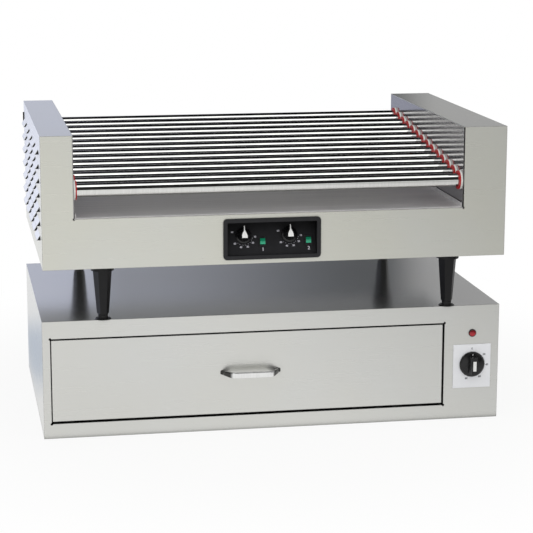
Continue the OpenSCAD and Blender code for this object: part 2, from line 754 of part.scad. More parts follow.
// Sprocket outline: each tooth gap holds one chain roller; gap is the angle of one gap
module sprocket_outline(n, gap) {
    rp = pitch_r(n);
    rr = rp - chain_roller_d / 2 - 0.15;
    ra = rp + 1.8;
    a1 = asin(1.6 / rr);
    a2 = asin((chain_roller_d / 2 + 0.36) / rp);
    a3 = 180 / n - asin(0.8 / ra);
    step = 360 / n;
    tooth = [[rr, -a1], [rr, a1], [rp, a2], [ra, a3], [ra, step - a3], [rp, step - a2]];
    polygon([for (k = [0:n - 1], p = tooth)
        let (a = gap + k * step + p[1]) [p[0] * cos(a), p[0] * sin(a)]]);
}
module sprocket(n, y, z, gap) {
    translate([0, y, z]) across(chain_x - tooth_w / 2, tooth_w) sprocket_outline(n, gap);
}

module roller(i) {
    y = ry(i);
    z = rz(i);
    color(chrome) placed() difference() {
        union() {
            cyl_x(tube_x0, tube_x1, y, z, roller_d);
            cyl_x(tube_x1, chain_x + tooth_w / 2 + 3, y, z, hub_d);
            sprocket(roller_teeth, y, z, gap_of(i));
        }
        cyl_x(tube_x0 + 6, tube_x1 - 6, y, z, roller_d - 2 * roller_wall);
        cyl_x(tube_x0 - 1, chain_x + 9, y, z, heater_d + 3);
    }
}

// A link plate between two points of the chain
module link_plate(a, b, x) {
    d = norm(b - a);
    r = 3.5;
    c = 1.5;
    translate([0, a[0], a[1]]) rotate([atan2(b[1] - a[1], b[0] - a[0]), 0, 0]) across(x, plate_w)
        polygon([[-r, -c], [-c, -r], [d + c, -r], [d + r, -c], [d + r, c], [d + c, r], [-c, r], [-r, c]]);
}
module drive_chain() {
    color([0.42, 0.4, 0.38]) placed() for (k = [0:links / 2 - 1]) {
        a = chain_at(2 * k * link);
        b = chain_at((2 * k + 1) * link);
        c = chain_at(k == links / 2 - 1 ? 0 : (2 * k + 2) * link);
        for (p = [a, b]) cyl_x(chain_x - chain_half, chain_x + chain_half, p[0], p[1], chain_roller_d);
        for (s = [-1, 1]) {
            link_plate(a, b, chain_x + s * (chain_half + 0.05 + plate_w / 2) - plate_w / 2);
            link_plate(b, c, chain_x + s * (chain_half + 0.1 + plate_w * 1.5) - plate_w / 2);
        }
    }
}

// Plastic bar that keeps the upper run of the chain down on the sprockets
module chain_guide() {
    last = roller_n - 1;
    low = pitch_r(roller_teeth) + 3.5 + 0.8;
    up = [-sin(roller_slope), cos(roller_slope)];
    p0 = [ry(0), rz(0)] + low * up;
    p1 = [ry(last), rz(last)] + low * up;
    color(white) placed() {
        across(chain_x - 5, 10) polygon([p0, p1, p1 + 8 * up, p0 + 8 * up]);
        for (p = [p0 + (p1 - p0) * 0.1, p0 + (p1 - p0) * 0.5, p0 + (p1 - p0) * 0.9])
            across(wall_r + sheet, chain_x + 5 - wall_r - sheet)
                translate(p + 8 * up) translate([-6, 0]) square([12, 3]);
        across(wall_r + sheet, 2) polygon([p0 + 6 * up, p1 + 6 * up, p1 + 11.5 * up, p0 + 11.5 * up]);
    }
}

// Drive
motor_z = gz0 + drive_z;
module gear_motor() {
    color([0.3, 0.31, 0.33]) placed() difference() {
        union() {
            box(wall_r - 46, wall_r, drive_y - 38, drive_y + 38, motor_z - 34, motor_z + 26);
            cyl_x(wall_r - 126, wall_r - 46, drive_y, motor_z - 6, 58);
            cyl_x(wall_r - 130, wall_r - 126, drive_y, motor_z - 6, 44);
            box(wall_r - 110, wall_r - 98, drive_y - 20, drive_y + 20, gz0 + sheet, motor_z - 30);
        }
        cyl_x(wall_r - 26, wall_r + 1, drive_y, motor_z, 10.12);
    }
}
module drive_sprocket() {
    color(chrome) placed() {
        cyl_x(wall_r - 25, chain_x + 12, drive_y, motor_z, 10);
        cyl_x(chain_x - 9, chain_x + 9, drive_y, motor_z, 24);
        sprocket(drive_teeth, drive_y, motor_z, gap_bend(1));
    }
}
module idler_arm() {
    y = idler_y;
    z = gz0 + idler_z;
    color([0.7, 0.71, 0.72]) placed() {
        cyl_x(wall_r - 3, wall_r + sheet, y, z, 6);
        cyl_x(wall_r - 7, wall_r, y, z, 12);
        cyl_x(wall_r + sheet, chain_x - 8, y, z, 14);
        cyl_x(chain_x - 8, chain_x + 8, y, z, 8);
        cyl_x(chain_x + 8, chain_x + 10, y, z, 13);
        box(wall_r + sheet, wall_r + sheet + 3, y - 30, y + 30, z - 9, z + 9);
    }
}
module idler_sprocket() {
    y = idler_y;
    z = gz0 + idler_z;
    color(chrome) placed() difference() {
        union() {
            sprocket(idler_teeth, y, z, gap_bend(2));
            cyl_x(chain_x - 7, chain_x + 7, y, z, 20);
        }
        cyl_x(chain_x - 9, chain_x + 9, y, z, 8.12);
    }
}

// Control panel: a frame, the walls of its recess and a plate that slopes back at the top
module on_plate(x, up) {
    translate([slot_x + x, plate_front_y, panel_z - inner_h / 2]) rotate([-plate_tilt, 0, 0])
        translate([0, 0, up]) rotate([90, 0, 0]) children();
}
module control_panel() {
    deep = recess_deep + 6;
    z0 = panel_z - inner_h / 2;
    color(black) placed() difference() {
        union() {
            translate([slot_x, 0, panel_z]) rotate([90, 0, 0]) linear_extrude(height = bezel_out)
                rounded(bezel_w, bezel_h, 7);
            box(slot_x - inner_w / 2 - 2, slot_x + inner_w / 2 + 2, 0, deep, z0 - 2, z0 + inner_h + 2);
        }
        difference() {
            box(slot_x - inner_w / 2, slot_x + inner_w / 2, -9, deep + 9, z0, z0 + inner_h);
            translate([slot_x, plate_front_y, z0]) rotate([-plate_tilt, 0, 0])
                box(-inner_w, inner_w, 0, plate_t, -20, inner_h + 40);
        }
        for (k = [0, 1]) {
            on_plate(knob_1x + k * pair_step, knob_up) cyl_z(-5, 5, 0, 0, shaft_d + 1.2);
            on_plate(knob_1x + switch_dx + k * pair_step, switch_up)
                cube([switch_w + 0.6, switch_h + 0.6, 10], center = true);
        }
    }
}

module control_units() {
    color([0.2, 0.2, 0.21]) placed() for (k = [0, 1]) {
        on_plate(knob_1x + k * pair_step, knob_up) difference() {
            translate([-16, -16, -plate_t - 24]) cube([32, 32, 24]);
            cyl_z(-18, 2, 0, 0, shaft_d + 0.12);
        }
        on_plate(knob_1x + switch_dx + k * pair_step, switch_up) difference() {
            union() {
                box(-switch_w / 2 - 1, switch_w / 2 + 1, -switch_h / 2 - 2.4, switch_h / 2 + 1, 0, 1.2);
                box(-switch_w / 2, switch_w / 2, -switch_h / 2, switch_h / 2, -20, 1);
            }
            translate([-switch_w / 2 + switch_wall, -switch_h / 2 + switch_wall, -9])
                cube([switch_w - 2 * switch_wall, switch_h - 2 * switch_wall, 12]);
            cyl_x(-switch_w / 2 - 1, switch_w / 2 + 1, 0, -2, pin_d + 0.12);
        }
    }
}

// Heat knob: round skirt and a pointer that tapers upward
module heat_knob(x) {
    d = heat_knob_d;
    color(black) placed() on_plate(x, knob_up) {
        translate([0, 0, 1]) rotate_extrude($fn = round_fn)
            polygon([[0, 0], [d / 2, 0], [d / 2, 2], [d / 2 - 3, 4], [8, 12], [0, 12]]);
        translate([0, 0, 4]) linear_extrude(height = heat_knob_out - 4)
            polygon([[-5, -8], [5, -8], [5.6, -4], [4, 6], [1.2, d / 2 + 1.6],
                [-1.2, d / 2 + 1.6], [-4, 6], [-5.6, -4]]);
        cyl_z(-17, 2, 0, 0, shaft_d);
    }
}
module front_heat_knob() { heat_knob(knob_1x); }
module rear_heat_knob() { heat_knob(knob_1x + pair_step); }

// Rocker key on a cross pin, tipped one way at rest
rocker_throw = 10;
module rocker(x) {
    w = switch_w - 2 * switch_wall - 0.8;
    h = switch_h - 2 * switch_wall - 1.4;
    color([0.07, 0.6, 0.44]) placed() on_plate(x, switch_up) {
        translate([-w / 2, 0, -2]) rotate([rocker_throw / 2, 0, 0]) rotate([90, 0, 90])
            linear_extrude(height = w)
                polygon([[-h / 2 + 0.9, -2], [h / 2 - 0.9, -2], [h / 2 - 0.4, 3.6], [0, 4.6],
                    [-h / 2 + 0.4, 3.6]]);
        cyl_x(-switch_w / 2 + 0.2, switch_w / 2 - 0.2, 0, -2, pin_d);
    }
}
module front_switch() { rocker(knob_1x + switch_dx); }
module rear_switch() { rocker(knob_1x + switch_dx + pair_step); }

// Legs and feet
module grill_legs() {
    hex_h = leg_gap - foot_show - leg_step_h - leg_collar_h;
    color(black) placed() for (p = leg_at) translate([p[0], p[1], 0]) difference() {
        union() {
            cyl_z(gz0, gz0 + 12, 0, 0, 9.5);
            cyl_z(gz0 - leg_collar_h, gz0, 0, 0, leg_top_w + 8);
            translate([0, 0, cab_h + foot_show + leg_step_h])
                cylinder(h = hex_h, d1 = leg_bottom_w, d2 = leg_top_w, $fn = 6);
            cyl_z(cab_h + foot_show, cab_h + foot_show + leg_step_h, 0, 0, leg_bottom_w - 3.4);
            cyl_z(gz0 + sheet, gz0 + 9, 0, 0, 17);
        }
        cyl_z(cab_h, cab_h + foot_show + 30, 0, 0, 12.4);
    }
}
module levelling_feet() {
    color(black) placed() for (p = leg_at) {
        cyl_z(cab_h, cab_h + foot_show - 0.6, p[0], p[1], foot_d);
        cyl_z(cab_h + foot_show - 0.6, cab_h + foot_show + 26, p[0], p[1], 12.2);
    }
}

module grill_screws() {
    color(chrome) placed() {
        for (x = grill_screw_x) screw_y(x, grill_d, gz0 + 10);
        for (x = [grill_screw_x[0], grill_screw_x[1]]) screw_y(x, grill_d, gz1 - 12);
    }
}

cabinet_shell();
cabinet_front();
cabinet_back();
cabinet_base();
control_divider();
drawer_rails();
leg_cups();
warmer_element();
warmer_controls();
dial_plate();
pilot_lens();
cabinet_gland();
cabinet_screws();
drawer_box();
drawer_front();
drawer_handle();
drawer_runners();
warmer_knob();
grill_front();
grill_side_left();
grill_side_right();
inner_wall_left();
inner_wall_right();
grill_back();
grill_base();
deck();
drip_tray();
roller_bearings();
roller_seals();
roller_heaters();
drive_chain();
chain_guide();
gear_motor();
drive_sprocket();
idler_arm();
idler_sprocket();
control_panel();
control_units();
front_heat_knob();
rear_heat_knob();
front_switch();
rear_switch();
grill_legs();
levelling_feet();
grill_gland();
grill_screws();
roller(0);  // roller_01
roller(1);  // roller_02
roller(2);  // roller_03
roller(3);  // roller_04
roller(4);  // roller_05
roller(5);  // roller_06
roller(6);  // roller_07
roller(7);  // roller_08
roller(8);  // roller_09
roller(9);  // roller_10
roller(10);  // roller_11
roller(11);  // roller_12
roller(12);  // roller_13
roller(13);  // roller_14
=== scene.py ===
import math
import bmesh
import bpy
from mathutils import Matrix, Vector


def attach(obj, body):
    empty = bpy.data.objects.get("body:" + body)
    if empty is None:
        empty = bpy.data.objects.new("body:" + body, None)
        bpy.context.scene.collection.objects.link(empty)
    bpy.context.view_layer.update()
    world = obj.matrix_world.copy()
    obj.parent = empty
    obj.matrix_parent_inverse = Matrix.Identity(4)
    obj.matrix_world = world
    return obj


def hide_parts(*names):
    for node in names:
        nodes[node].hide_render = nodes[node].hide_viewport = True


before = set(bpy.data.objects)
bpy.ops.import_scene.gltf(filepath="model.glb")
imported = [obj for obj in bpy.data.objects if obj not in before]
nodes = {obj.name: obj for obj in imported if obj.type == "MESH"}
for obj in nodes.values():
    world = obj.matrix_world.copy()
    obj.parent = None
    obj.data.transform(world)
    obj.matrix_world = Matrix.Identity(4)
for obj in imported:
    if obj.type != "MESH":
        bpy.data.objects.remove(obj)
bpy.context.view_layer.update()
scene = bpy.context.scene
mm = 0.001
midY = 297.5 * mm  # the drawing's Y = 0 is the grill's front face, this far ahead of the frame's Y = 0
black = (0, 0, 0, 1)
white = (1, 1, 1, 1)
noiseSpread = {"From Min": 0.3, "From Max": 0.7}  # most values of a noise lie between these


def linear(code):
    # sRGB hex to the linear RGBA that shaders take
    values = [int(code[i:i + 2], 16) / 255 for i in (1, 3, 5)]
    return tuple(v / 12.92 if v <= 0.04045 else ((v + 0.055) / 1.055) ** 2.4 for v in values) + (1.0,)


def feed(tree, node, links):
    # links a node's sockets to what feeds them
    for key, source in links.items():
        tree.links.new(source, node.inputs[key])


def addNode(tree, kind, settings=None, links=None):
    # a node, its settings by attribute or socket, and what feeds it. A number is a socket's place: in a mix,
    # 0 is the share of the second value, and the two values are 2 and 3 for numbers, 4 and 5 for vectors,
    # and 6 and 7 for colours
    node = tree.nodes.new("ShaderNode" + kind)
    for key, value in (settings or {}).items():
        if isinstance(key, str) and hasattr(node, key):
            setattr(node, key, value)
        else:
            node.inputs[key].default_value = value
    feed(tree, node, links or {})
    return node


def setStops(ramp, stops):
    # puts positions and colours on a ramp that starts with two stops
    for i, (position, colour) in enumerate(stops):
        stop = ramp.elements[i] if i < 2 else ramp.elements.new(1.0)
        stop.position, stop.color = position, colour


def startMaterial(name, **sockets):
    # a material whose even values sit on the shader's own sockets
    material = bpy.data.materials.new(name)
    material.use_nodes = True
    tree = material.node_tree
    shader = tree.nodes["Principled BSDF"]
    for key, value in sockets.items():
        shader.inputs[key].default_value = value
    place = addNode(tree, "TexCoord")
    return material, tree, shader, place


# Camera, at the photograph's angle
cameraLook = {"place": (-0.629415, -3.66496, 1.03491), "pitch": 0.204, "turn": 0.178, "roll": -0.001,
              "focalPixels": 1844.8, "imagePixels": 533, "sensorMm": 36}
cameraData = bpy.data.cameras.new("photoCamera")
cameraData.sensor_width = cameraLook["sensorMm"]
cameraData.lens = cameraLook["focalPixels"] / cameraLook["imagePixels"] * cameraLook["sensorMm"]
camera = bpy.data.objects.new("photoCamera", cameraData)
camera.location = cameraLook["place"]
camera.rotation_euler = (math.pi / 2 - cameraLook["pitch"], cameraLook["roll"], -cameraLook["turn"])
scene.collection.objects.link(camera)
scene.camera = camera
scene.view_settings.view_transform = "Standard"
print("camera set")

# Studio: pale floor, white surroundings, a soft box above, a soft fill in front, and cards that only
# reflections see. Distances are in metres.
studioLook = {
    # brightness of the surroundings as light; the floor's colour, and how it turns white away from the middle
    "surroundings": 0.62, "floorColour": "#E8E8E5", "floorLift": 0.9, "fadeFrom": 0.5, "fadeTo": 1.15,
    # the floor in reflections: how dark it is to the right, and its bluish strip beyond the left end
    "floorGradeX": (0.1, 1.1), "floorGrade": 0.56, "sideTint": "#C3CEDF", "sideX": (-0.5, -0.42),
    "sideSpan": 1.5, "sideTones": ((0.0, 0.0), (0.4, 1.0), (0.85, 1.0), (1.2, 0.0)),
    # glow of the dark cards: middle X, and how far from it they start and end to lighten
    "dark": 0.028, "darkSpan": (0.65, 1.5, 2.5), "darkSides": 0.42,
    # the rear card by height, and its tones by X
    "rearFadeZ": (1.2, 1.6), "rearLowZ": (0.45, 0.8), "rearLow": 0.8, "rearSpan": (-0.5, 1.5),
    "rearTones": ((-0.15, "#CACEE0"), (0.02, "#9EA1AC"), (1.02, "#606266"), (1.24, "#AEAEB0")),
    "window": "#E6EAFF", "windowStrength": 1.47,
    "lamps": {
        "topBox": {"place": (0, -0.62, 2.3), "aim": (0, -0.62, 0.3), "size": (2.8, 1.3), "power": 13.5,
                   "reflected": True},
        "fillBox": {"place": (-1.3, -3.3, 1.9), "aim": (0, 0, 0.3), "size": (3.0, 3.0), "power": 27,
                    "reflected": False}}}


def seenDirectly(tree, ray):
    # 1 for what the camera, a mirror or a clear piece shows, and 0 for light that falls on surfaces
    seen = addNode(tree, "Math", {"operation": "MAXIMUM"},
                   {0: ray.outputs["Is Camera Ray"], 1: ray.outputs["Is Glossy Ray"]})
    return addNode(tree, "Math", {"operation": "MAXIMUM"},
                   {0: seen.outputs[0], 1: ray.outputs["Is Transmission Ray"]}).outputs[0]


world = bpy.data.worlds.new("whiteStudio")
scene.world = world
world.use_nodes = True
tree = world.node_tree
background = tree.nodes["Background"]
ray = addNode(tree, "LightPath")
level = addNode(tree, "MapRange", {"To Min": studioLook["surroundings"], "To Max": 1.0},
                {"Value": seenDirectly(tree, ray)})
background.inputs["Color"].default_value = white
feed(tree, background, {"Strength": level.outputs["Result"]})

floorMaterial, tree, shader, place = startMaterial("paleStudioPaper", Roughness=0.9)
shader.inputs["Base Color"].default_value = linear(studioLook["floorColour"])
ray = addNode(tree, "LightPath")
reach = addNode(tree, "VectorMath", {"operation": "LENGTH"}, {0: place.outputs["Object"]})
fade = addNode(tree, "MapRange", {"From Min": studioLook["fadeFrom"], "From Max": studioLook["fadeTo"],
               "To Min": studioLook["floorLift"], "To Max": 1.0, "interpolation_type": "SMOOTHSTEP"},
               {"Value": reach.outputs["Value"]})
share = addNode(tree, "Math", {"operation": "MULTIPLY"},
                {0: fade.outputs["Result"], 1: seenDirectly(tree, ray)})
# the paper seen in reflections greys off to the right, where the studio is darker
axes = addNode(tree, "SeparateXYZ", {}, {0: place.outputs["Object"]})
start, end = studioLook["floorGradeX"]
grade = addNode(tree, "MapRange", {"From Min": start, "From Max": end, "To Min": 1.0,
                "To Max": studioLook["floorGrade"]}, {"Value": axes.outputs["X"]})
grade = addNode(tree, "Math", {"operation": "MAXIMUM"},
                {0: grade.outputs[0], 1: ray.outputs["Is Camera Ray"]})
# beside the left end it is bluish some way behind, and the side sheet shows that
along = addNode(tree, "ValToRGB", {}, {0: axes.outputs["Y"]})
setStops(along.color_ramp, [(y / studioLook["sideSpan"], (tone, tone, tone, 1))
                            for y, tone in studioLook["sideTones"]])
start, end = studioLook["sideX"]
beside = addNode(tree, "MapRange", {"From Min": start, "From Max": end, "To Min": 1.0, "To Max": 0.0},
                 {"Value": axes.outputs["X"]})
shift = addNode(tree, "Math", {"operation": "MULTIPLY"}, {0: along.outputs[0], 1: beside.outputs[0]})
hidden = addNode(tree, "Math", {"operation": "SUBTRACT", 0: 1.0}, {1: ray.outputs["Is Camera Ray"]})
shift = addNode(tree, "Math", {"operation": "MULTIPLY"}, {0: shift.outputs[0], 1: hidden.outputs[0]})
paper = addNode(tree, "Mix", {"data_type": "RGBA", 6: white, 7: linear(studioLook["sideTint"])},
                {0: shift.outputs[0]})
glow = addNode(tree, "Emission", {}, {"Color": paper.outputs[2], "Strength": grade.outputs[0]})
both = addNode(tree, "MixShader", {}, {0: share.outputs[0], 1: shader.outputs[0], 2: glow.outputs[0]})
feed(tree, tree.nodes["Material Output"], {"Surface": both.outputs[0]})


def sheetObject(name, points, faces, material):
    # a flat or folded sheet from its corner points
    mesh = bpy.data.meshes.new(name)
    mesh.from_pydata([Vector(p) for p in points], [], faces)
    mesh.materials.append(material)
    made = bpy.data.objects.new(name, mesh)
    scene.collection.objects.link(made)
    return made


square = [(0, 1, 2, 3)]
floor = sheetObject("studioFloor", [(-30, -30, 0), (30, -30, 0), (30, 30, 0), (-30, 30, 0)], square,
                    floorMaterial)


def darkAcross(tree, sideways):
    # a card's glow at a given X: darkest straight before and behind the rollers, greyer off to the sides
    middle, start, end = studioLook["darkSpan"]
    away = addNode(tree, "Math", {"operation": "SUBTRACT", 1: middle}, {0: sideways})
    away = addNode(tree, "Math", {"operation": "ABSOLUTE"}, {0: away.outputs[0]})
    return addNode(tree, "MapRange", {"From Min": start, "From Max": end, "To Min": studioLook["dark"],
                   "To Max": studioLook["darkSides"], "interpolation_type": "SMOOTHSTEP"},
                   {"Value": away.outputs[0]}).outputs["Result"]


def cardMaterial(name, colour, strength):
    # a card that glows evenly
    material, tree = startMaterial(name)[:2]
    glow = addNode(tree, "Emission", {"Color": colour, "Strength": strength})
    feed(tree, tree.nodes["Material Output"], {"Surface": glow.outputs[0]})
    return material


# the rear card is pale to 1.2 m up and dark above that: bluish on the left, then greyer to about 1 m right
rearMaterial, tree, shader, place = startMaterial("rearCardPaper")
axes = addNode(tree, "SeparateXYZ", {}, {0: place.outputs["Object"]})
low, high = studioLook["rearSpan"]
sideways = addNode(tree, "MapRange", {"From Min": low, "From Max": high}, {"Value": axes.outputs["X"]})
start, end = studioLook["rearFadeZ"]
upward = addNode(tree, "MapRange", {"From Min": start, "From Max": end, "To Min": 1.0, "To Max": 0.0,
                 "interpolation_type": "SMOOTHSTEP"}, {"Value": axes.outputs["Z"]})
start, end = studioLook["rearLowZ"]
lower = addNode(tree, "MapRange", {"From Min": start, "From Max": end, "To Min": studioLook["rearLow"],
                "To Max": 1.0}, {"Value": axes.outputs["Z"]})
upward = addNode(tree, "Math", {"operation": "MULTIPLY"},
                 {0: upward.outputs["Result"], 1: lower.outputs["Result"]})
upward = addNode(tree, "Math", {"operation": "MAXIMUM"},
                 {0: upward.outputs[0], 1: darkAcross(tree, axes.outputs["X"])})
tint = addNode(tree, "ValToRGB", {}, {0: sideways.outputs["Result"]})
tint.color_ramp.interpolation = "EASE"
setStops(tint.color_ramp, [((x - low) / (high - low), linear(tone)) for x, tone in studioLook["rearTones"]])
glow = addNode(tree, "Emission", {}, {"Color": tint.outputs[0], "Strength": upward.outputs[0]})
feed(tree, tree.nodes["Material Output"], {"Surface": glow.outputs[0]})

frontMaterial, tree, shader, place = startMaterial("frontCardPaper")
axes = addNode(tree, "SeparateXYZ", {}, {0: place.outputs["Object"]})
glow = addNode(tree, "Emission", {"Color": white}, {"Strength": darkAcross(tree, axes.outputs["X"])})
feed(tree, tree.nodes["Material Output"], {"Surface": glow.outputs[0]})

darkMaterial = cardMaterial("darkCardPaper", white, studioLook["dark"])
windowMaterial = cardMaterial("windowLight", linear(studioLook["window"]), studioLook["windowStrength"])
# each card by its corners; the rear one is folded where its roof meets its upright part
cardCorners = {
    "frontCard": [(-4, -1.35, 2.75), (4, -1.35, 2.75), (4, -4.9, 1.1), (-4, -4.9, 1.1)],
    "rearCard": [(-4, -0.48, 2.75), (4, -0.48, 2.75), (4, 2.7, 2.2), (-4, 2.7, 2.2), (4, 3.3, 0.02),
                 (-4, 3.3, 0.02)],
    "leftCard": [(-2.0, -1.7, 0.01), (-2.0, -0.3, 0.01), (-2.0, -0.3, 0.9), (-2.0, -1.7, 0.9)],
    "rightCard": [(1.9, -2.2, 0.01), (1.9, -0.5, 0.01), (1.9, -0.5, 0.9), (1.9, -2.2, 0.9)],
    "windowCard": [(-3.2, 0.0, 0.01), (-0.85, 3.2, 0.01), (-0.85, 3.2, 1.4), (-3.2, 0.0, 1.4)]}
cardMaterials = {"frontCard": frontMaterial, "rearCard": rearMaterial, "leftCard": darkMaterial,
                 "rightCard": darkMaterial, "windowCard": windowMaterial}
cardFaces = {"rearCard": square + [(3, 2, 4, 5)]}
cards = [sheetObject(name, corners, cardFaces.get(name, square), cardMaterials[name])
         for name, corners in cardCorners.items()]
for card in cards:
    card.visible_camera = False
    card.visible_diffuse = False
    card.visible_shadow = False
for name, look in studioLook["lamps"].items():
    lampData = bpy.data.lights.new(name, "AREA")
    lampData.shape = "RECTANGLE"
    lampData.size, lampData.size_y = look["size"]
    lampData.energy = look["power"]
    lamp = bpy.data.objects.new(name, lampData)
    lamp.location = look["place"]
    lamp.rotation_euler = (Vector(look["aim"]) - lamp.location).to_track_quat("-Z", "Y").to_euler()
    lamp.visible_glossy = look["reflected"]
    scene.collection.objects.link(lamp)
print("studio set")


def paintGapShade(tree, colour, reachMm, darkestShade=0.02):
    # painted shade: darkens a colour where other surfaces stand within reach all round, by ambient occlusion
    shut = addNode(tree, "AmbientOcclusion", {"samples": 4, "Distance": reachMm * mm})
    light = addNode(tree, "MapRange", {"From Min": 0.2, "From Max": 0.8, "To Min": darkestShade, "To Max": 1.0},
                    {"Value": shut.outputs["AO"]})
    shaded = addNode(tree, "Mix", {"data_type": "RGBA", 6: black}, {0: light.outputs[0], 7: colour})
    return shaded.outputs[2]


# Satin stainless sheet, rolled and then brushed with a 180-grit belt: even warm grey with fine level lines.
# The real lines are about 0.3 mm apart; they are drawn 2.4 mm apart, as coarse as they need to be to show.
# The finest scratches scatter a little of the light evenly, so it isn't wholly metal.
# Level faces are smoother, as the sheet came. Narrow gaps and the insides of folds get painted shade, and the
# bend of a fold is painted darker than the flats, a painted shade line along each fold.
brushedLook = {"light": "#D5D5CC", "dark": "#D2D2C8", "cloud": "#D3D4CF", "lineMm": 2.4, "streakMm": 260,
               "cloudMm": 180, "cloudFrom": 0.42, "cloudTo": 0.72, "cloudShare": 0.6, "roughLow": 0.27,
               "roughHigh": 0.3, "roughLevel": 0.15, "levelFrom": 0.7, "lineDepth": 0.00004, "bump": 0.05,
               "gapShadeMm": 12, "foldMm": 1.4, "foldFrom": 0.84, "foldTo": 0.99, "foldShadeTone": 0.4, "metal": 0.88}
# the cabinet's sheet is of another lot, a little cooler
satinLook = dict(brushedLook, light="#D6D6D2", dark="#D3D3CE", cloud="#D4D5D3")


def brushedStainless(look, name):
    material, tree, shader, place = startMaterial(name, Metallic=look["metal"])
    along, across = 1000 / look["streakMm"], 1000 / look["lineMm"]
    upright = addNode(tree, "Mapping", {"Scale": (along, along, across)}, {"Vector": place.outputs["Object"]})
    level = addNode(tree, "Mapping", {"Scale": (along, across, along)}, {"Vector": place.outputs["Object"]})
    facing = addNode(tree, "SeparateXYZ", {}, {0: place.outputs["Normal"]})
    steep = addNode(tree, "Math", {"operation": "ABSOLUTE"}, {0: facing.outputs["Z"]})
    isLevel = addNode(tree, "Math", {"operation": "GREATER_THAN", 1: look["levelFrom"]},
                      {0: steep.outputs[0]})
    where = addNode(tree, "Mix", {"data_type": "VECTOR"},
                    {0: isLevel.outputs[0], 4: upright.outputs[0], 5: level.outputs[0]})
    lines = addNode(tree, "TexNoise", {"Scale": 1.0, "Detail": 3.0, "Roughness": 0.6},
                    {"Vector": where.outputs[1]})
    cloud = addNode(tree, "TexNoise", {"Scale": 1000 / look["cloudMm"], "Detail": 2.0},
                    {"Vector": place.outputs["Object"]})
    tone = addNode(tree, "Mix", {"data_type": "RGBA", 6: linear(look["dark"]), 7: linear(look["light"])},
                   {0: lines.outputs[0]})
    patch = addNode(tree, "MapRange", {"From Min": look["cloudFrom"], "From Max": look["cloudTo"],
                    "To Max": look["cloudShare"]}, {"Value": cloud.outputs[0]})
    colour = addNode(tree, "Mix", {"data_type": "RGBA", 7: linear(look["cloud"])},
                     {0: patch.outputs[0], 6: tone.outputs[2]})
    # painted shade in narrow gaps and the insides of folds
    shaded = paintGapShade(tree, colour.outputs[2], look["gapShadeMm"])
    rough = addNode(tree, "MapRange", {**noiseSpread, "To Min": look["roughLow"],
                    "To Max": look["roughHigh"]}, {"Value": lines.outputs[0]})
    rough = addNode(tree, "Mix", {3: look["roughLevel"]}, {0: isLevel.outputs[0], 2: rough.outputs[0]})
    fold = addNode(tree, "Bevel", {"samples": 4, "Radius": look["foldMm"] * mm})
    bump = addNode(tree, "Bump", {"Strength": look["bump"], "Distance": look["lineDepth"]},
                   {"Height": lines.outputs[0], "Normal": fold.outputs[0]})
    flat = addNode(tree, "NewGeometry")
    # painted shade: the bend of a fold is painted darker than the flats, a dark line along each fold
    bent = addNode(tree, "VectorMath", {"operation": "DOT_PRODUCT"},
                   {0: fold.outputs[0], 1: flat.outputs["True Normal"]})
    foldShade = addNode(tree, "MapRange", {"From Min": look["foldFrom"], "From Max": look["foldTo"],
                    "To Min": look["foldShadeTone"], "To Max": 1.0}, {"Value": bent.outputs["Value"]})
    shaded = addNode(tree, "Mix", {"data_type": "RGBA", 6: black}, {0: foldShade.outputs[0], 7: shaded})
    feed(tree, shader, {"Base Color": shaded.outputs[2], "Roughness": rough.outputs[0],
                        "Normal": bump.outputs[0]})
    return material


# Cold rolled stainless with its bright mill finish: darker grey, a soft mirror that bends with the sheet's
# slow waves
millLook = {"light": "#ABA9AB", "dark": "#9F9D9F", "waveMm": 160, "waveDepth": 0.0007, "specMm": 3.0,
            "streakMm": 3.0, "roughLow": 0.11, "roughHigh": 0.15, "gapShadeMm": 7, "metal": 0.86}
# the same sheet on the tray and the deck below the rollers, where a thin baked film scatters half the light
trayLook = dict(millLook, light="#FFFDFB", dark="#D2D0D3", specMm=5.0, streakMm=240, roughLow=0.3,
                roughHigh=0.42, gapShadeMm=0, metal=0.5)
# underside of the case, a rougher and darker copy of the mill sheet: painted shade for the underside in
# shadow, seen only as a reflection in the cabinet's top
shadedUnderLook = dict(millLook, light="#8E9094", dark="#7E8084", roughLow=0.4, roughHigh=0.5, gapShadeMm=0, metal=1.0)


def millStainless(look, name):
    material, tree, shader, place = startMaterial(name, Metallic=look["metal"])
    wave = addNode(tree, "TexNoise", {"Scale": 1000 / look["waveMm"], "Detail": 1.0},
                   {"Vector": place.outputs["Object"]})
    along, across = 1000 / look["streakMm"], 1000 / look["specMm"]
    drawn = addNode(tree, "Mapping", {"Scale": (along, across, across)}, {"Vector": place.outputs["Object"]})
    spec = addNode(tree, "TexNoise", {"Scale": 1.0, "Detail": 3.0}, {"Vector": drawn.outputs[0]})
    colour = addNode(tree, "Mix", {"data_type": "RGBA", 6: linear(look["dark"]), 7: linear(look["light"])},
                     {0: spec.outputs[0]})
    rough = addNode(tree, "MapRange", {**noiseSpread, "To Min": look["roughLow"],
                    "To Max": look["roughHigh"]}, {"Value": spec.outputs[0]})
    bump = addNode(tree, "Bump", {"Strength": 1.0, "Distance": look["waveDepth"]},
                   {"Height": wave.outputs[0]})
    # painted shade in narrow gaps, where the sheet has any reach for it
    shaded = paintGapShade(tree, colour.outputs[2], look["gapShadeMm"]) if look["gapShadeMm"] else colour.outputs[2]
    feed(tree, shader, {"Base Color": shaded, "Roughness": rough.outputs[0], "Normal": bump.outputs[0]})
    return material


# Chrome plate on polished steel: almost a mirror, with faint rings worn round a tube and a little haze.
# The faces that look to the sides of a handle are painted darker, a painted reflection of the dark ends of
# the studio.
chromeLook = {"light": "#EDEDEC", "dark": "#D9D9D8", "ringMm": 2.5, "wavesPerMetre": 3, "hazeMm": 45,
              "wornFrom": 0.12, "wornTo": 0.42, "roughLow": 0.035, "roughHigh": 0.11, "shadeAxis": (1, 0, 0),
              "shadeFrom": 0.5, "shadeTo": 0.75, "darkestShade": 0.1, "bothWays": True}
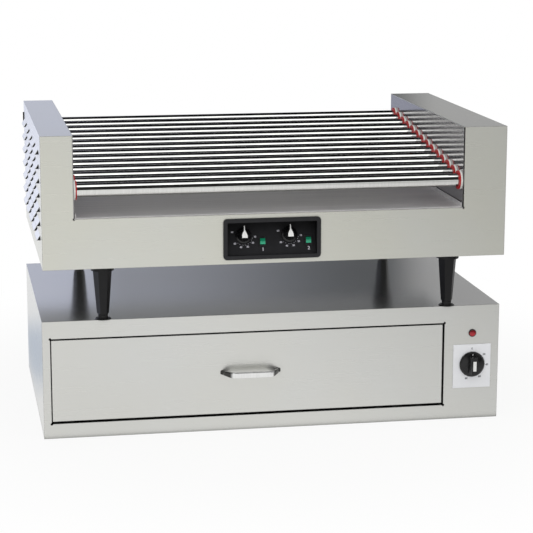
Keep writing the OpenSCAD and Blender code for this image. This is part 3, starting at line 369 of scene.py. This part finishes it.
# the rollers' plate is a little duller, and painted darker along their undersides as painted shade
rollerLook = dict(chromeLook, light="#E0E0DD", dark="#CECECB", shadeAxis=(0, 0, -1), shadeFrom=0.72,
                  shadeTo=0.86, darkestShade=0.55, bothWays=False)


def chromePlate(look, name):
    material, tree, shader, place = startMaterial(name, Metallic=1.0)
    waves = look["wavesPerMetre"]
    wound = addNode(tree, "Mapping", {"Scale": (1000 / look["ringMm"], waves, waves)},
                    {"Vector": place.outputs["Object"]})
    rings = addNode(tree, "TexNoise", {"Scale": 1.0, "Detail": 2.0}, {"Vector": wound.outputs[0]})
    haze = addNode(tree, "TexNoise", {"Scale": 1000 / look["hazeMm"], "Detail": 2.0},
                   {"Vector": place.outputs["Object"]})
    worn = addNode(tree, "Math", {"operation": "MULTIPLY"}, {0: rings.outputs[0], 1: haze.outputs[0]})
    colour = addNode(tree, "Mix", {"data_type": "RGBA", 6: linear(look["dark"]), 7: linear(look["light"])},
                     {0: rings.outputs[0]})
    rough = addNode(tree, "MapRange", {"From Min": look["wornFrom"], "From Max": look["wornTo"],
                    "To Min": look["roughLow"], "To Max": look["roughHigh"]}, {"Value": worn.outputs[0]})
    # darkens the colour where a face turns along the shade axis: a painted reflection of the studio's dark
    # ends on a handle's sides, and painted shade on the rollers' undersides
    facing = addNode(tree, "NewGeometry")
    turned = addNode(tree, "VectorMath", {"operation": "DOT_PRODUCT", 1: look["shadeAxis"]},
                     {0: facing.outputs["Normal"]})
    share = turned.outputs["Value"]
    if look["bothWays"]:
        share = addNode(tree, "Math", {"operation": "ABSOLUTE"}, {0: share}).outputs[0]
    shade = addNode(tree, "MapRange", {"From Min": look["shadeFrom"], "From Max": look["shadeTo"],
                    "To Min": 1.0, "To Max": look["darkestShade"]}, {"Value": share})
    shaded = addNode(tree, "Mix", {"data_type": "RGBA", 6: black},
                     {0: shade.outputs[0], 7: colour.outputs[2]})
    feed(tree, shader, {"Base Color": shaded.outputs[2], "Roughness": rough.outputs[0]})
    return material


# Zinc-plated steel: blue-grey crystals a few millimetres wide, half matt
zincLook = {"light": "#C3C8CC", "dark": "#9FA5AA", "crystalMm": 5.0, "roughLow": 0.3, "roughHigh": 0.5}
# Carbon steel of the chain and its sprockets: brown-grey, oiled, with small darker stains
oiledLook = {"light": "#7C766F", "dark": "#4C4843", "crystalMm": 2.0, "roughLow": 0.28, "roughHigh": 0.45}
# Nickel alloy sheath of a tube heater, browned by heat
sheathLook = {"light": "#8B8173", "dark": "#5F564B", "crystalMm": 9.0, "roughLow": 0.4, "roughHigh": 0.6}


def platedSteel(look, name):
    material, tree, shader, place = startMaterial(name, Metallic=1.0)
    cells = addNode(tree, "TexVoronoi", {"Scale": 1000 / look["crystalMm"], "Randomness": 1.0},
                    {"Vector": place.outputs["Object"]})
    shade = addNode(tree, "SeparateColor", {}, {0: cells.outputs["Color"]})
    colour = addNode(tree, "Mix", {"data_type": "RGBA", 6: linear(look["dark"]), 7: linear(look["light"])},
                     {0: shade.outputs[0]})
    rough = addNode(tree, "MapRange", {"To Min": look["roughLow"], "To Max": look["roughHigh"]},
                    {"Value": shade.outputs[1]})
    feed(tree, shader, {"Base Color": colour.outputs[2], "Roughness": rough.outputs[0]})
    return material


# Moulded plastics, rubbers, paints and inks. grainMm is the texture of the mould or coat, and depth its
# height in metres. specular is under the usual 0.5 where the real piece mirrors less than a white room gives.
plasticLooks = {
    # glass-filled nylon legs, satin black with a fine spark grain that greys the edges
    "mouldedNylon": {"light": "#131315", "dark": "#0B0B0C", "grainMm": 1.6, "depth": 0.00006,
                     "rough": (0.3, 0.42), "ior": 1.53, "specular": 0.25},
    # phenolic knobs, glossy black from a polished mould
    "pressedPhenolic": {"light": "#161617", "dark": "#0B0B0C", "grainMm": 6, "depth": 0.00002,
                        "rough": (0.2, 0.3), "ior": 1.6, "specular": 0.3},
    # ABS frame of the controls, fine leather grain, near black, with painted shade deep in the recess
    "grainedAbs": {"light": "#252528", "dark": "#1A1A1D", "grainMm": 1.4, "depth": 0.00008,
                   "rough": (0.42, 0.55), "ior": 1.54, "specular": 0.3, "gapShadeMm": 30},
    # thermoplastic inner parts of switches and regulators
    "mouldedPolyester": {"light": "#262628", "dark": "#18181A", "grainMm": 2.5, "depth": 0.00004,
                         "rough": (0.4, 0.5), "ior": 1.57},
    # neoprene feet and cord bushes, dull black
    "mouldedRubber": {"light": "#1B1B1B", "dark": "#101010", "grainMm": 1.2, "depth": 0.00006,
                      "rough": (0.6, 0.75), "ior": 1.52},
    # acetal bearings and chain bar, milky white, slightly waxy
    "machinedAcetal": {"light": "#F1F1EE", "dark": "#E2E2DC", "grainMm": 2.0, "depth": 0.00003,
                       "rough": (0.35, 0.45), "ior": 1.48},
    # dead matt black of the wedges and plug that stand in for the shade inside the louvres and the slot:
    # painted shade
    "louvreShadeBlack": {"light": "#1C1F26", "dark": "#0D0E12", "grainMm": 1.1, "depth": 0.0002,
                   "rough": (0.85, 0.95), "ior": 1.5},
    # silicone seals, bright red with a soft bloom
    "mouldedSilicone": {"light": "#C2191B", "dark": "#A01013", "grainMm": 3.0, "depth": 0.00004,
                        "rough": (0.4, 0.55), "ior": 1.41},
    # baked enamel of the dial plate, clean cool white with a faint orange peel
    "bakedEnamel": {"light": "#F9FAFD", "dark": "#F0F1F6", "grainMm": 2.2, "depth": 0.00003,
                    "rough": (0.3, 0.38), "ior": 1.5},
    # stove paint of the motor, dark grey with orange peel
    "stovePaint": {"light": "#4D5054", "dark": "#3D4044", "grainMm": 2.5, "depth": 0.00008,
                   "rough": (0.35, 0.48), "ior": 1.5},
    # screen-printed ink, white on the controls
    "whiteInk": {"light": "#D9D8E0", "dark": "#C9C8D2", "grainMm": 0.8, "depth": 0.00001,
                 "rough": (0.5, 0.6), "ior": 1.45},
    # screen-printed ink, dark grey on the dial plate
    "greyInk": {"light": "#3A3D42", "dark": "#26292D", "grainMm": 0.8, "depth": 0.00001,
                "rough": (0.5, 0.6), "ior": 1.45},
    # white nylon inserts pressed into the knobs
    "whiteInsert": {"light": "#F6F6F5", "dark": "#ECECEB", "grainMm": 1.5, "depth": 0.00002,
                    "rough": (0.35, 0.45), "ior": 1.53},
}
plasticForm = {"cloudGrains": 12, "edgeMm": 0.5, "bump": 0.8, "darkestShade": 0.1}


def mouldedPlastic(look, name):
    material, tree, shader, place = startMaterial(name, **{
        "IOR": look["ior"], "Specular IOR Level": look.get("specular", 0.5)})
    grain = addNode(tree, "TexNoise", {"Scale": 1000 / look["grainMm"], "Detail": 3.0},
                    {"Vector": place.outputs["Object"]})
    cloud = addNode(tree, "TexNoise", {"Scale": 1000 / look["grainMm"] / plasticForm["cloudGrains"],
                    "Detail": 2.0}, {"Vector": place.outputs["Object"]})
    colour = addNode(tree, "Mix", {"data_type": "RGBA", 6: linear(look["dark"]), 7: linear(look["light"])},
                     {0: cloud.outputs[0]})
    rough = addNode(tree, "MapRange", {**noiseSpread, "To Min": look["rough"][0],
                    "To Max": look["rough"][1]}, {"Value": grain.outputs[0]})
    edge = addNode(tree, "Bevel", {"samples": 4, "Radius": plasticForm["edgeMm"] * mm})
    bump = addNode(tree, "Bump", {"Strength": plasticForm["bump"], "Distance": look["depth"]},
                   {"Height": grain.outputs[0], "Normal": edge.outputs[0]})
    shaded = colour.outputs[2]
    # painted shade deep in a recess, where the look gives a reach for it
    if "gapShadeMm" in look:
        shaded = paintGapShade(tree, shaded, look["gapShadeMm"], plasticForm["darkestShade"])
    feed(tree, shader, {"Base Color": shaded, "Roughness": rough.outputs[0], "Normal": bump.outputs[0]})
    return material


# Tinted polycarbonate keys and acrylic lens: deep colour, with a painted highlight that makes it lighter low
# in the piece, between the heights low and high in millimetres. Towards its rim the lens darkens over its
# black body.
tintedLooks = {
    "greenPolycarbonate": {"deep": "#0B7A57", "lit": "#23B98C", "low": 367.0, "high": 378.0, "speckMm": 1.5,
                           "rough": (0.12, 0.2), "ior": 1.58},
    "redAcrylic": {"deep": "#5E0710", "lit": "#B91A28", "low": 169.0, "high": 180.0, "speckMm": 1.5,
                   "rough": (0.08, 0.16), "ior": 1.49,
                   "rim": {"x": 393.8, "z": 172.9, "from": 5.4, "to": 6.6, "tone": 0.12}},
}


def tintedPlastic(look, name):
    material, tree, shader, place = startMaterial(name, IOR=look["ior"])
    axes = addNode(tree, "SeparateXYZ", {}, {0: place.outputs["Object"]})
    # painted highlight: lighter below the low height, deep above the high one
    rise = addNode(tree, "MapRange", {"From Min": look["low"] * mm, "From Max": look["high"] * mm,
                   "To Min": 1.0, "To Max": 0.0, "interpolation_type": "SMOOTHSTEP"},
                   {"Value": axes.outputs["Z"]})
    colour = addNode(tree, "Mix", {"data_type": "RGBA", 6: linear(look["deep"]), 7: linear(look["lit"])},
                     {0: rise.outputs[0]})
    shown = colour.outputs[2]
    if "rim" in look:
        rim = look["rim"]
        flat = addNode(tree, "CombineXYZ", {"Y": 0.0}, {"X": axes.outputs["X"], "Z": axes.outputs["Z"]})
        away = addNode(tree, "VectorMath", {"operation": "DISTANCE", 1: (rim["x"] * mm, 0, rim["z"] * mm)},
                       {0: flat.outputs[0]})
        edge = addNode(tree, "MapRange", {"From Min": rim["from"] * mm, "From Max": rim["to"] * mm,
                       "To Min": 1.0, "To Max": rim["tone"]}, {"Value": away.outputs["Value"]})
        shown = addNode(tree, "Mix", {"data_type": "RGBA", 6: black}, {0: edge.outputs[0], 7: shown})
        shown = shown.outputs[2]
    speck = addNode(tree, "TexNoise", {"Scale": 1000 / look["speckMm"], "Detail": 2.0},
                    {"Vector": place.outputs["Object"]})
    rough = addNode(tree, "MapRange", {"To Min": look["rough"][0], "To Max": look["rough"][1]},
                    {"Value": speck.outputs[0]})
    feed(tree, shader, {"Base Color": shown, "Roughness": rough.outputs[0]})
    return material


finishes = {"brushedStainless": brushedStainless(brushedLook, "brushedStainless"),
            "millStainless": millStainless(millLook, "millStainless"),
            "dulledStainless": millStainless(trayLook, "dulledStainless"),
            "underShadeStainless": millStainless(shadedUnderLook, "underShadeStainless"),
            "satinStainless": brushedStainless(satinLook, "satinStainless"),
            "chromePlate": chromePlate(chromeLook, "chromePlate"),
            "chromedTube": chromePlate(rollerLook, "chromedTube"),
            "zincPlate": platedSteel(zincLook, "zincPlate"),
            "oiledSteel": platedSteel(oiledLook, "oiledSteel"),
            "heatedSheath": platedSteel(sheathLook, "heatedSheath")}
for name, look in plasticLooks.items():
    finishes[name] = mouldedPlastic(look, name)
for name, look in tintedLooks.items():
    finishes[name] = tintedPlastic(look, name)

nodeFinish = {
    "brushedStainless": ["grill_front", "grill_side_left", "grill_side_right", "grill_back"],
    "satinStainless": ["cabinet_shell", "cabinet_front", "cabinet_back", "cabinet_base", "drawer_front"],
    "underShadeStainless": ["grill_base"],
    "millStainless": ["inner_wall_left", "inner_wall_right", "drawer_box", "control_divider"],
    "dulledStainless": ["deck", "drip_tray"],
    "chromePlate": ["cabinet_screws", "grill_screws", "drawer_handle"],
    "chromedTube": ["roller_%02d" % i for i in range(1, 15)],
    "zincPlate": ["drawer_rails", "drawer_runners", "idler_arm"],
    "oiledSteel": ["drive_chain", "drive_sprocket", "idler_sprocket"],
    "heatedSheath": ["warmer_element", "roller_heaters"],
    "mouldedNylon": ["grill_legs", "leg_cups"],
    "pressedPhenolic": ["warmer_knob", "front_heat_knob", "rear_heat_knob"],
    "grainedAbs": ["control_panel"],
    "mouldedPolyester": ["control_units", "warmer_controls"],
    "mouldedRubber": ["levelling_feet", "cabinet_gland", "grill_gland"],
    "machinedAcetal": ["roller_bearings", "chain_guide"],
    "mouldedSilicone": ["roller_seals"],
    "bakedEnamel": ["dial_plate"],
    "stovePaint": ["gear_motor"],
    "greenPolycarbonate": ["front_switch", "rear_switch"],
    "redAcrylic": ["pilot_lens"],
}
for finish, names in nodeFinish.items():
    for name in names:
        slots = nodes[name].data.materials
        slots.clear()
        slots.append(finishes[finish])
print("materials on", sum(len(v) for v in nodeFinish.values()), "of", len(nodes), "nodes")


def pieceFrom(bm, name, finish, body, smooth=True):
    # turns a bmesh into a piece that rides on a body
    bmesh.ops.recalc_face_normals(bm, faces=bm.faces)
    mesh = bpy.data.meshes.new(name)
    bm.to_mesh(mesh)
    bm.free()
    mesh.materials.append(finishes[finish])
    for face in mesh.polygons:
        face.use_smooth = smooth
    piece = bpy.data.objects.new(name, mesh)
    scene.collection.objects.link(piece)
    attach(piece, body)
    return piece


def addOutline(bm, outline, matrix, thickness):
    # a slab from a flat outline in millimetres, standing on the matrix's XY plane
    low = [bm.verts.new(matrix @ Vector((x * mm, y * mm, 0))) for x, y in outline]
    top = [bm.verts.new(matrix @ Vector((x * mm, y * mm, thickness * mm))) for x, y in outline]
    bm.faces.new(low[::-1])
    bm.faces.new(top)
    for i in range(len(low)):
        j = (i + 1) % len(low)
        bm.faces.new((low[i], low[j], top[j], top[i]))


inkMm = 0.12  # thickness of a printed mark


def addNumber(bm, text, size, matrix, bold):
    # a printed number from the built-in face, bolder by so many millimetres, with its middle at the matrix
    curve = bpy.data.curves.new("numberCurve", "FONT")
    curve.body = text
    curve.size = size * mm
    curve.extrude = inkMm / 2 * mm
    curve.offset = bold * mm
    curve.align_x, curve.align_y = "CENTER", "CENTER"
    curve.resolution_u = 3
    holder = bpy.data.objects.new("numberHolder", curve)
    scene.collection.objects.link(holder)
    bpy.context.view_layer.update()
    mesh = bpy.data.meshes.new_from_object(holder.evaluated_get(bpy.context.evaluated_depsgraph_get()))
    mesh.transform(matrix)
    bm.from_mesh(mesh)
    bpy.data.objects.remove(holder)
    bpy.data.curves.remove(curve)
    bpy.data.meshes.remove(mesh)


def circleOutline(radius, count):
    # so many points round the origin
    turns = [2 * math.pi * i / count for i in range(count)]
    return [(radius * math.cos(a), radius * math.sin(a)) for a in turns]


# Painted shade: a dead black wedge fills each louvre, and a black plug stands in the slot near the left
# side's back edge, dark stand-ins for the shade inside them. A wedge is (inwards, up) from the louvre's top
# edge on the case, and the plug's corners are (inwards, back, up) from the case's upper left front corner.
louvreShadeLook = {"firstY": 58.3, "topZ": 218.7, "stepY": 101.1, "stepZ": 27.1, "columns": 5, "rows": 7,
            "long": 74.0, "inset": 1.2, "louvreOut": 6.8, "wedge": ((0.9, -1.4), (-5.0, -9.7), (0.9, -9.7)),
            "plug": ((-2.7, 564.2, -51.6), (0.8, 566.8, -22.4))}
sideSheet = nodes["grill_side_left"]
sideBox = [sideSheet.matrix_world @ Vector(corner) for corner in sideSheet.bound_box]
caseLow, caseHigh = min(v.z for v in sideBox), max(v.z for v in sideBox)
caseHalf = -min(v.x for v in sideBox) - louvreShadeLook["louvreOut"] * mm
bm = bmesh.new()
for side in (-1, 1):
    for column in range(louvreShadeLook["columns"]):
        y0 = (louvreShadeLook["firstY"] + column * louvreShadeLook["stepY"] + louvreShadeLook["inset"]) * mm - midY
        y1 = y0 + (louvreShadeLook["long"] - 2 * louvreShadeLook["inset"]) * mm
        for row in range(louvreShadeLook["rows"]):
            z = caseLow + (louvreShadeLook["topZ"] - row * louvreShadeLook["stepZ"]) * mm
            ends = [[bm.verts.new(Vector((side * (caseHalf - x * mm), y, z + up * mm)))
                     for x, up in louvreShadeLook["wedge"]] for y in (y0, y1)]
            bm.faces.new(ends[0])
            bm.faces.new(ends[1][::-1])
            for k in range(3):
                bm.faces.new((ends[0][k], ends[1][k], ends[1][(k + 1) % 3], ends[0][(k + 1) % 3]))
low, high = (Vector(corner) * mm for corner in louvreShadeLook["plug"])
corner = Vector((-caseHalf, -midY, caseHigh))
for v in bmesh.ops.create_cube(bm, size=1.0)["verts"]:
    share = v.co + Vector((0.5, 0.5, 0.5))
    v.co = corner + low + share * (high - low)
pieceFrom(bm, "louvre_shade_blocks", "louvreShadeBlack", "grill", smooth=False)
print("louvres backed")

# The sloping plate behind the frame of the controls, from its lower left corner up and out
plateLook = {"middleX": -11.8, "frontY": 4.0, "middleZ": 381.2, "innerH": 63.3, "deep": 28.0,
             "knobX": (-52.7, 35.7), "knobUp": 37.0, "switchStep": 36.4, "switchUp": 25.7, "knobOut": 18.0}
plateTilt = math.atan((plateLook["deep"] - plateLook["frontY"]) / plateLook["innerH"])
plateUp = Vector((0, math.sin(plateTilt), math.cos(plateTilt)))
plateOut = Vector((0, -math.cos(plateTilt), math.sin(plateTilt)))


def onPlate(x, up, out):
    # a frame on the sloping plate, millimetres right, up and out
    lowZ = plateLook["middleZ"] - plateLook["innerH"] / 2
    corner = Vector((plateLook["middleX"] + x, plateLook["frontY"], lowZ))
    point = (corner + plateUp * up + plateOut * out) * mm - Vector((0, midY, 0))
    return Matrix.Translation(point) @ Matrix((Vector((1, 0, 0)), plateUp, plateOut)).transposed().to_4x4()


# White pointers on the two heat knobs: broad low down, drawn out to a thin tip
pointerLook = {"outline": [(-5.3, -7.2), (5.3, -7.2), (5.2, -2.0), (3.6, 2.6), (1.9, 5.6), (0.95, 8.0),
                           (0.65, 16.4), (-0.65, 16.4), (-0.95, 8.0), (-1.9, 5.6), (-3.6, 2.6), (-5.2, -2.0)],
               "thick": 0.7, "sunk": 0.05, "edge": 0.25}
for body, x in zip(("front_heat_knob", "rear_heat_knob"), plateLook["knobX"]):
    bm = bmesh.new()
    spot = onPlate(x, plateLook["knobUp"], plateLook["knobOut"] - pointerLook["sunk"])
    addOutline(bm, pointerLook["outline"], spot, pointerLook["thick"])
    piece = pieceFrom(bm, body + "_pointer", "whiteInsert", body, smooth=False)
    edge = piece.modifiers.new("softEdge", "BEVEL")
    edge.width = pointerLook["edge"] * mm
    edge.segments = 2

# Printed scale round each heat knob, with two dots between numbers, and a plain number under each switch
scaleLook = {"marks": {"10": 96, "20": 128, "30": 161, "40": 195, "50": 229, "60": 290},
             "radius": 22.4, "size": 4.7, "bold": 0.15, "dotRadius": 17.8, "dot": 0.55, "dotSides": 10,
             "dotsAt": (0.3, 0.7), "switchSize": 9.0, "switchBold": 0.22, "switchDrop": 15.8}


def roundKnob(x, radius, angle, out):
    # a frame on the plate, so far from a heat knob's axis and so many degrees clockwise from the top
    a = math.radians(angle)
    return onPlate(x + radius * math.sin(a), plateLook["knobUp"] + radius * math.cos(a), out)


bm = bmesh.new()
for index, x in enumerate(plateLook["knobX"]):
    angles = sorted(scaleLook["marks"].values())
    for text, angle in scaleLook["marks"].items():
        addNumber(bm, text, scaleLook["size"], roundKnob(x, scaleLook["radius"], angle, inkMm / 2),
                  scaleLook["bold"])
    for low, high in zip(angles, angles[1:-1]):
        for part in scaleLook["dotsAt"]:
            addOutline(bm, circleOutline(scaleLook["dot"], scaleLook["dotSides"]),
                       roundKnob(x, scaleLook["dotRadius"], low + (high - low) * part, 0), inkMm)
    spot = onPlate(x + plateLook["switchStep"], plateLook["switchUp"] - scaleLook["switchDrop"], inkMm / 2)
    addNumber(bm, str(index + 1), scaleLook["switchSize"], spot, scaleLook["switchBold"])
pieceFrom(bm, "heat_scale_print", "whiteInk", "grill", smooth=False)
print("heat controls dressed")

# Warmer dial: white insert in the grip, white tick on the cone of its skirt, plain numbers on the white plate
dialLook = {"x": 393.8, "z": 110.2, "faceY": 30.0, "plateY": 29.2, "knobY": 28.2, "gripOut": 23.0,
            "insert": (6.4, 19.6), "insertCut": 0.4, "insertThick": 0.6, "insertSunk": 0.05,
            "skirtThick": 5.0, "skirtRadius": 22.25, "coneRun": 9.25, "coneRise": 3.0,
            "tickRadius": (16.6, 21.4), "tickWide": 1.9, "tickThick": 0.35, "tickSunk": 0.1,
            "marks": {"0": 0, "20": 53, "40": 95, "60": 148, "80": 200}, "radius": 31.0, "size": 5.6,
            "bold": 0.1}


def onDial(x, z, y):
    # a frame that looks forward, millimetres right and up from the dial's axis, on the plane at that Y
    point = Vector((dialLook["x"] + x, y, dialLook["z"] + z)) * mm - Vector((0, midY, 0))
    basis = Matrix((Vector((1, 0, 0)), Vector((0, 0, 1)), Vector((0, -1, 0)))).transposed().to_4x4()
    return Matrix.Translation(point) @ basis


bm = bmesh.new()
half, tall = dialLook["insert"][0] / 2, dialLook["insert"][1] / 2
cut = dialLook["insertCut"]
corners = [(-half + cut, -tall), (half - cut, -tall), (half, -tall + cut), (half, tall - cut),
           (half - cut, tall), (-half + cut, tall), (-half, tall - cut), (-half, -tall + cut)]
addOutline(bm, corners, onDial(0, 0, dialLook["faceY"] - dialLook["gripOut"] + dialLook["insertSunk"]),
           dialLook["insertThick"])
near, far = dialLook["tickRadius"]
middle = (near + far) / 2
slope = dialLook["coneRise"] / dialLook["coneRun"]
coneY = dialLook["knobY"] - dialLook["skirtThick"] - (dialLook["skirtRadius"] - middle) * slope
spot = onDial(0, middle, coneY + dialLook["tickSunk"]) @ Matrix.Rotation(math.atan(slope), 4, "X")
wide, long = dialLook["tickWide"] / 2, (far - near) / 2
addOutline(bm, [(-wide, -long), (wide, -long), (wide, long), (-wide, long)], spot, dialLook["tickThick"])
pieceFrom(bm, "warmer_knob_inserts", "whiteInsert", "warmer_knob", smooth=False)
bm = bmesh.new()
for text, angle in dialLook["marks"].items():
    a = math.radians(angle)
    spot = onDial(dialLook["radius"] * math.sin(a), dialLook["radius"] * math.cos(a),
                  dialLook["plateY"] - inkMm / 2)
    addNumber(bm, text, dialLook["size"], spot, dialLook["bold"])
pieceFrom(bm, "warmer_scale_print", "greyInk", "cabinet", smooth=False)
print("warmer dial dressed")

# Drawer handle: one bent bar with rounded edges, its feet drawn in, on two studs with nuts inside the drawer.
# Each stud or nut is its radius, its front and back Y, and its count of sides.
handleLook = {"x": -48.55, "z": 115.7, "faceY": 30.0, "out": 31.0, "footX": 55.5, "barX": 38.6, "thick": 5.0,
              "barHigh": 12.0, "footHigh": 8.2, "taper": 0.8, "bend": 9.0, "bendSteps": 8, "runSteps": 4,
              "sides": 24, "footFlare": 1.35, "roundness": (0.62, 0.45), "studX": 53.5,
              "studs": ((2.0, 28.5, 36.5, 24), (4.0, 32.2, 35.2, 6))}


def handlePath(look):
    # middle line from one foot to the other, with round bends, as (x, y, height)
    depth = look["out"] - look["thick"] / 2
    foot, bar = Vector((look["footX"], 0)), Vector((look["barX"], -depth))
    arm = (foot - bar).normalized()
    start, end = bar + arm * look["bend"], bar - Vector((look["bend"], 0))
    runs = look["runSteps"]
    half = [foot.lerp(start, i / runs) for i in range(runs)]
    for i in range(look["bendSteps"] + 1):
        t = i / look["bendSteps"]
        half.append((1 - t) ** 2 * start + 2 * t * (1 - t) * bar + t * t * end)
    half += [end.lerp(Vector((0, -depth)), i / runs) for i in range(1, runs + 1)]
    points = []
    for point in half:
        share = min(1.0, -point.y / depth) ** look["taper"]
        points.append((point.x, point.y, look["footHigh"] + (look["barHigh"] - look["footHigh"]) * share))
    return points + [(-x, y, high) for x, y, high in points[-2::-1]]


bm = bmesh.new()
path = handlePath(handleLook)
sides = handleLook["sides"]
thickPower, highPower = handleLook["roundness"]
rings = []
for i, (x, y, high) in enumerate(path):
    before, after = path[max(i - 1, 0)], path[min(i + 1, len(path) - 1)]
    way = Vector((after[0] - before[0], after[1] - before[1])).normalized()
    side = Vector((way.y, -way.x))
    if i in (0, len(path) - 1):
        side = Vector((handleLook["footFlare"] if i == 0 else -handleLook["footFlare"], 0))
    section = []
    for k in range(sides):
        a = 2 * math.pi * (k + 0.5) / sides
        ca, sa = math.cos(a), math.sin(a)
        u = math.copysign(abs(ca) ** thickPower, ca) * handleLook["thick"] / 2
        v = math.copysign(abs(sa) ** highPower, sa) * high / 2
        point = Vector((handleLook["x"] + x + side.x * u, handleLook["faceY"] + y + side.y * u,
                        handleLook["z"] + v)) * mm
        section.append(bm.verts.new(point - Vector((0, midY, 0))))
    rings.append(section)
for one, two in zip(rings, rings[1:]):
    for k in range(sides):
        bm.faces.new((one[k], one[(k + 1) % sides], two[(k + 1) % sides], two[k]))
bm.faces.new(rings[0])
bm.faces.new(rings[-1][::-1])
for side in (-1, 1):
    for radius, y0, y1, count in handleLook["studs"]:
        spot = Vector((handleLook["x"] + side * handleLook["studX"], y1, handleLook["z"])) * mm
        turned = Matrix.Translation(spot - Vector((0, midY, 0))) @ Matrix.Rotation(math.pi / 2, 4, "X")
        addOutline(bm, circleOutline(radius, count), turned, y1 - y0)
handle = pieceFrom(bm, "bent_handle", "chromePlate", "drawer")
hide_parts("drawer_handle")
print("handle bent")
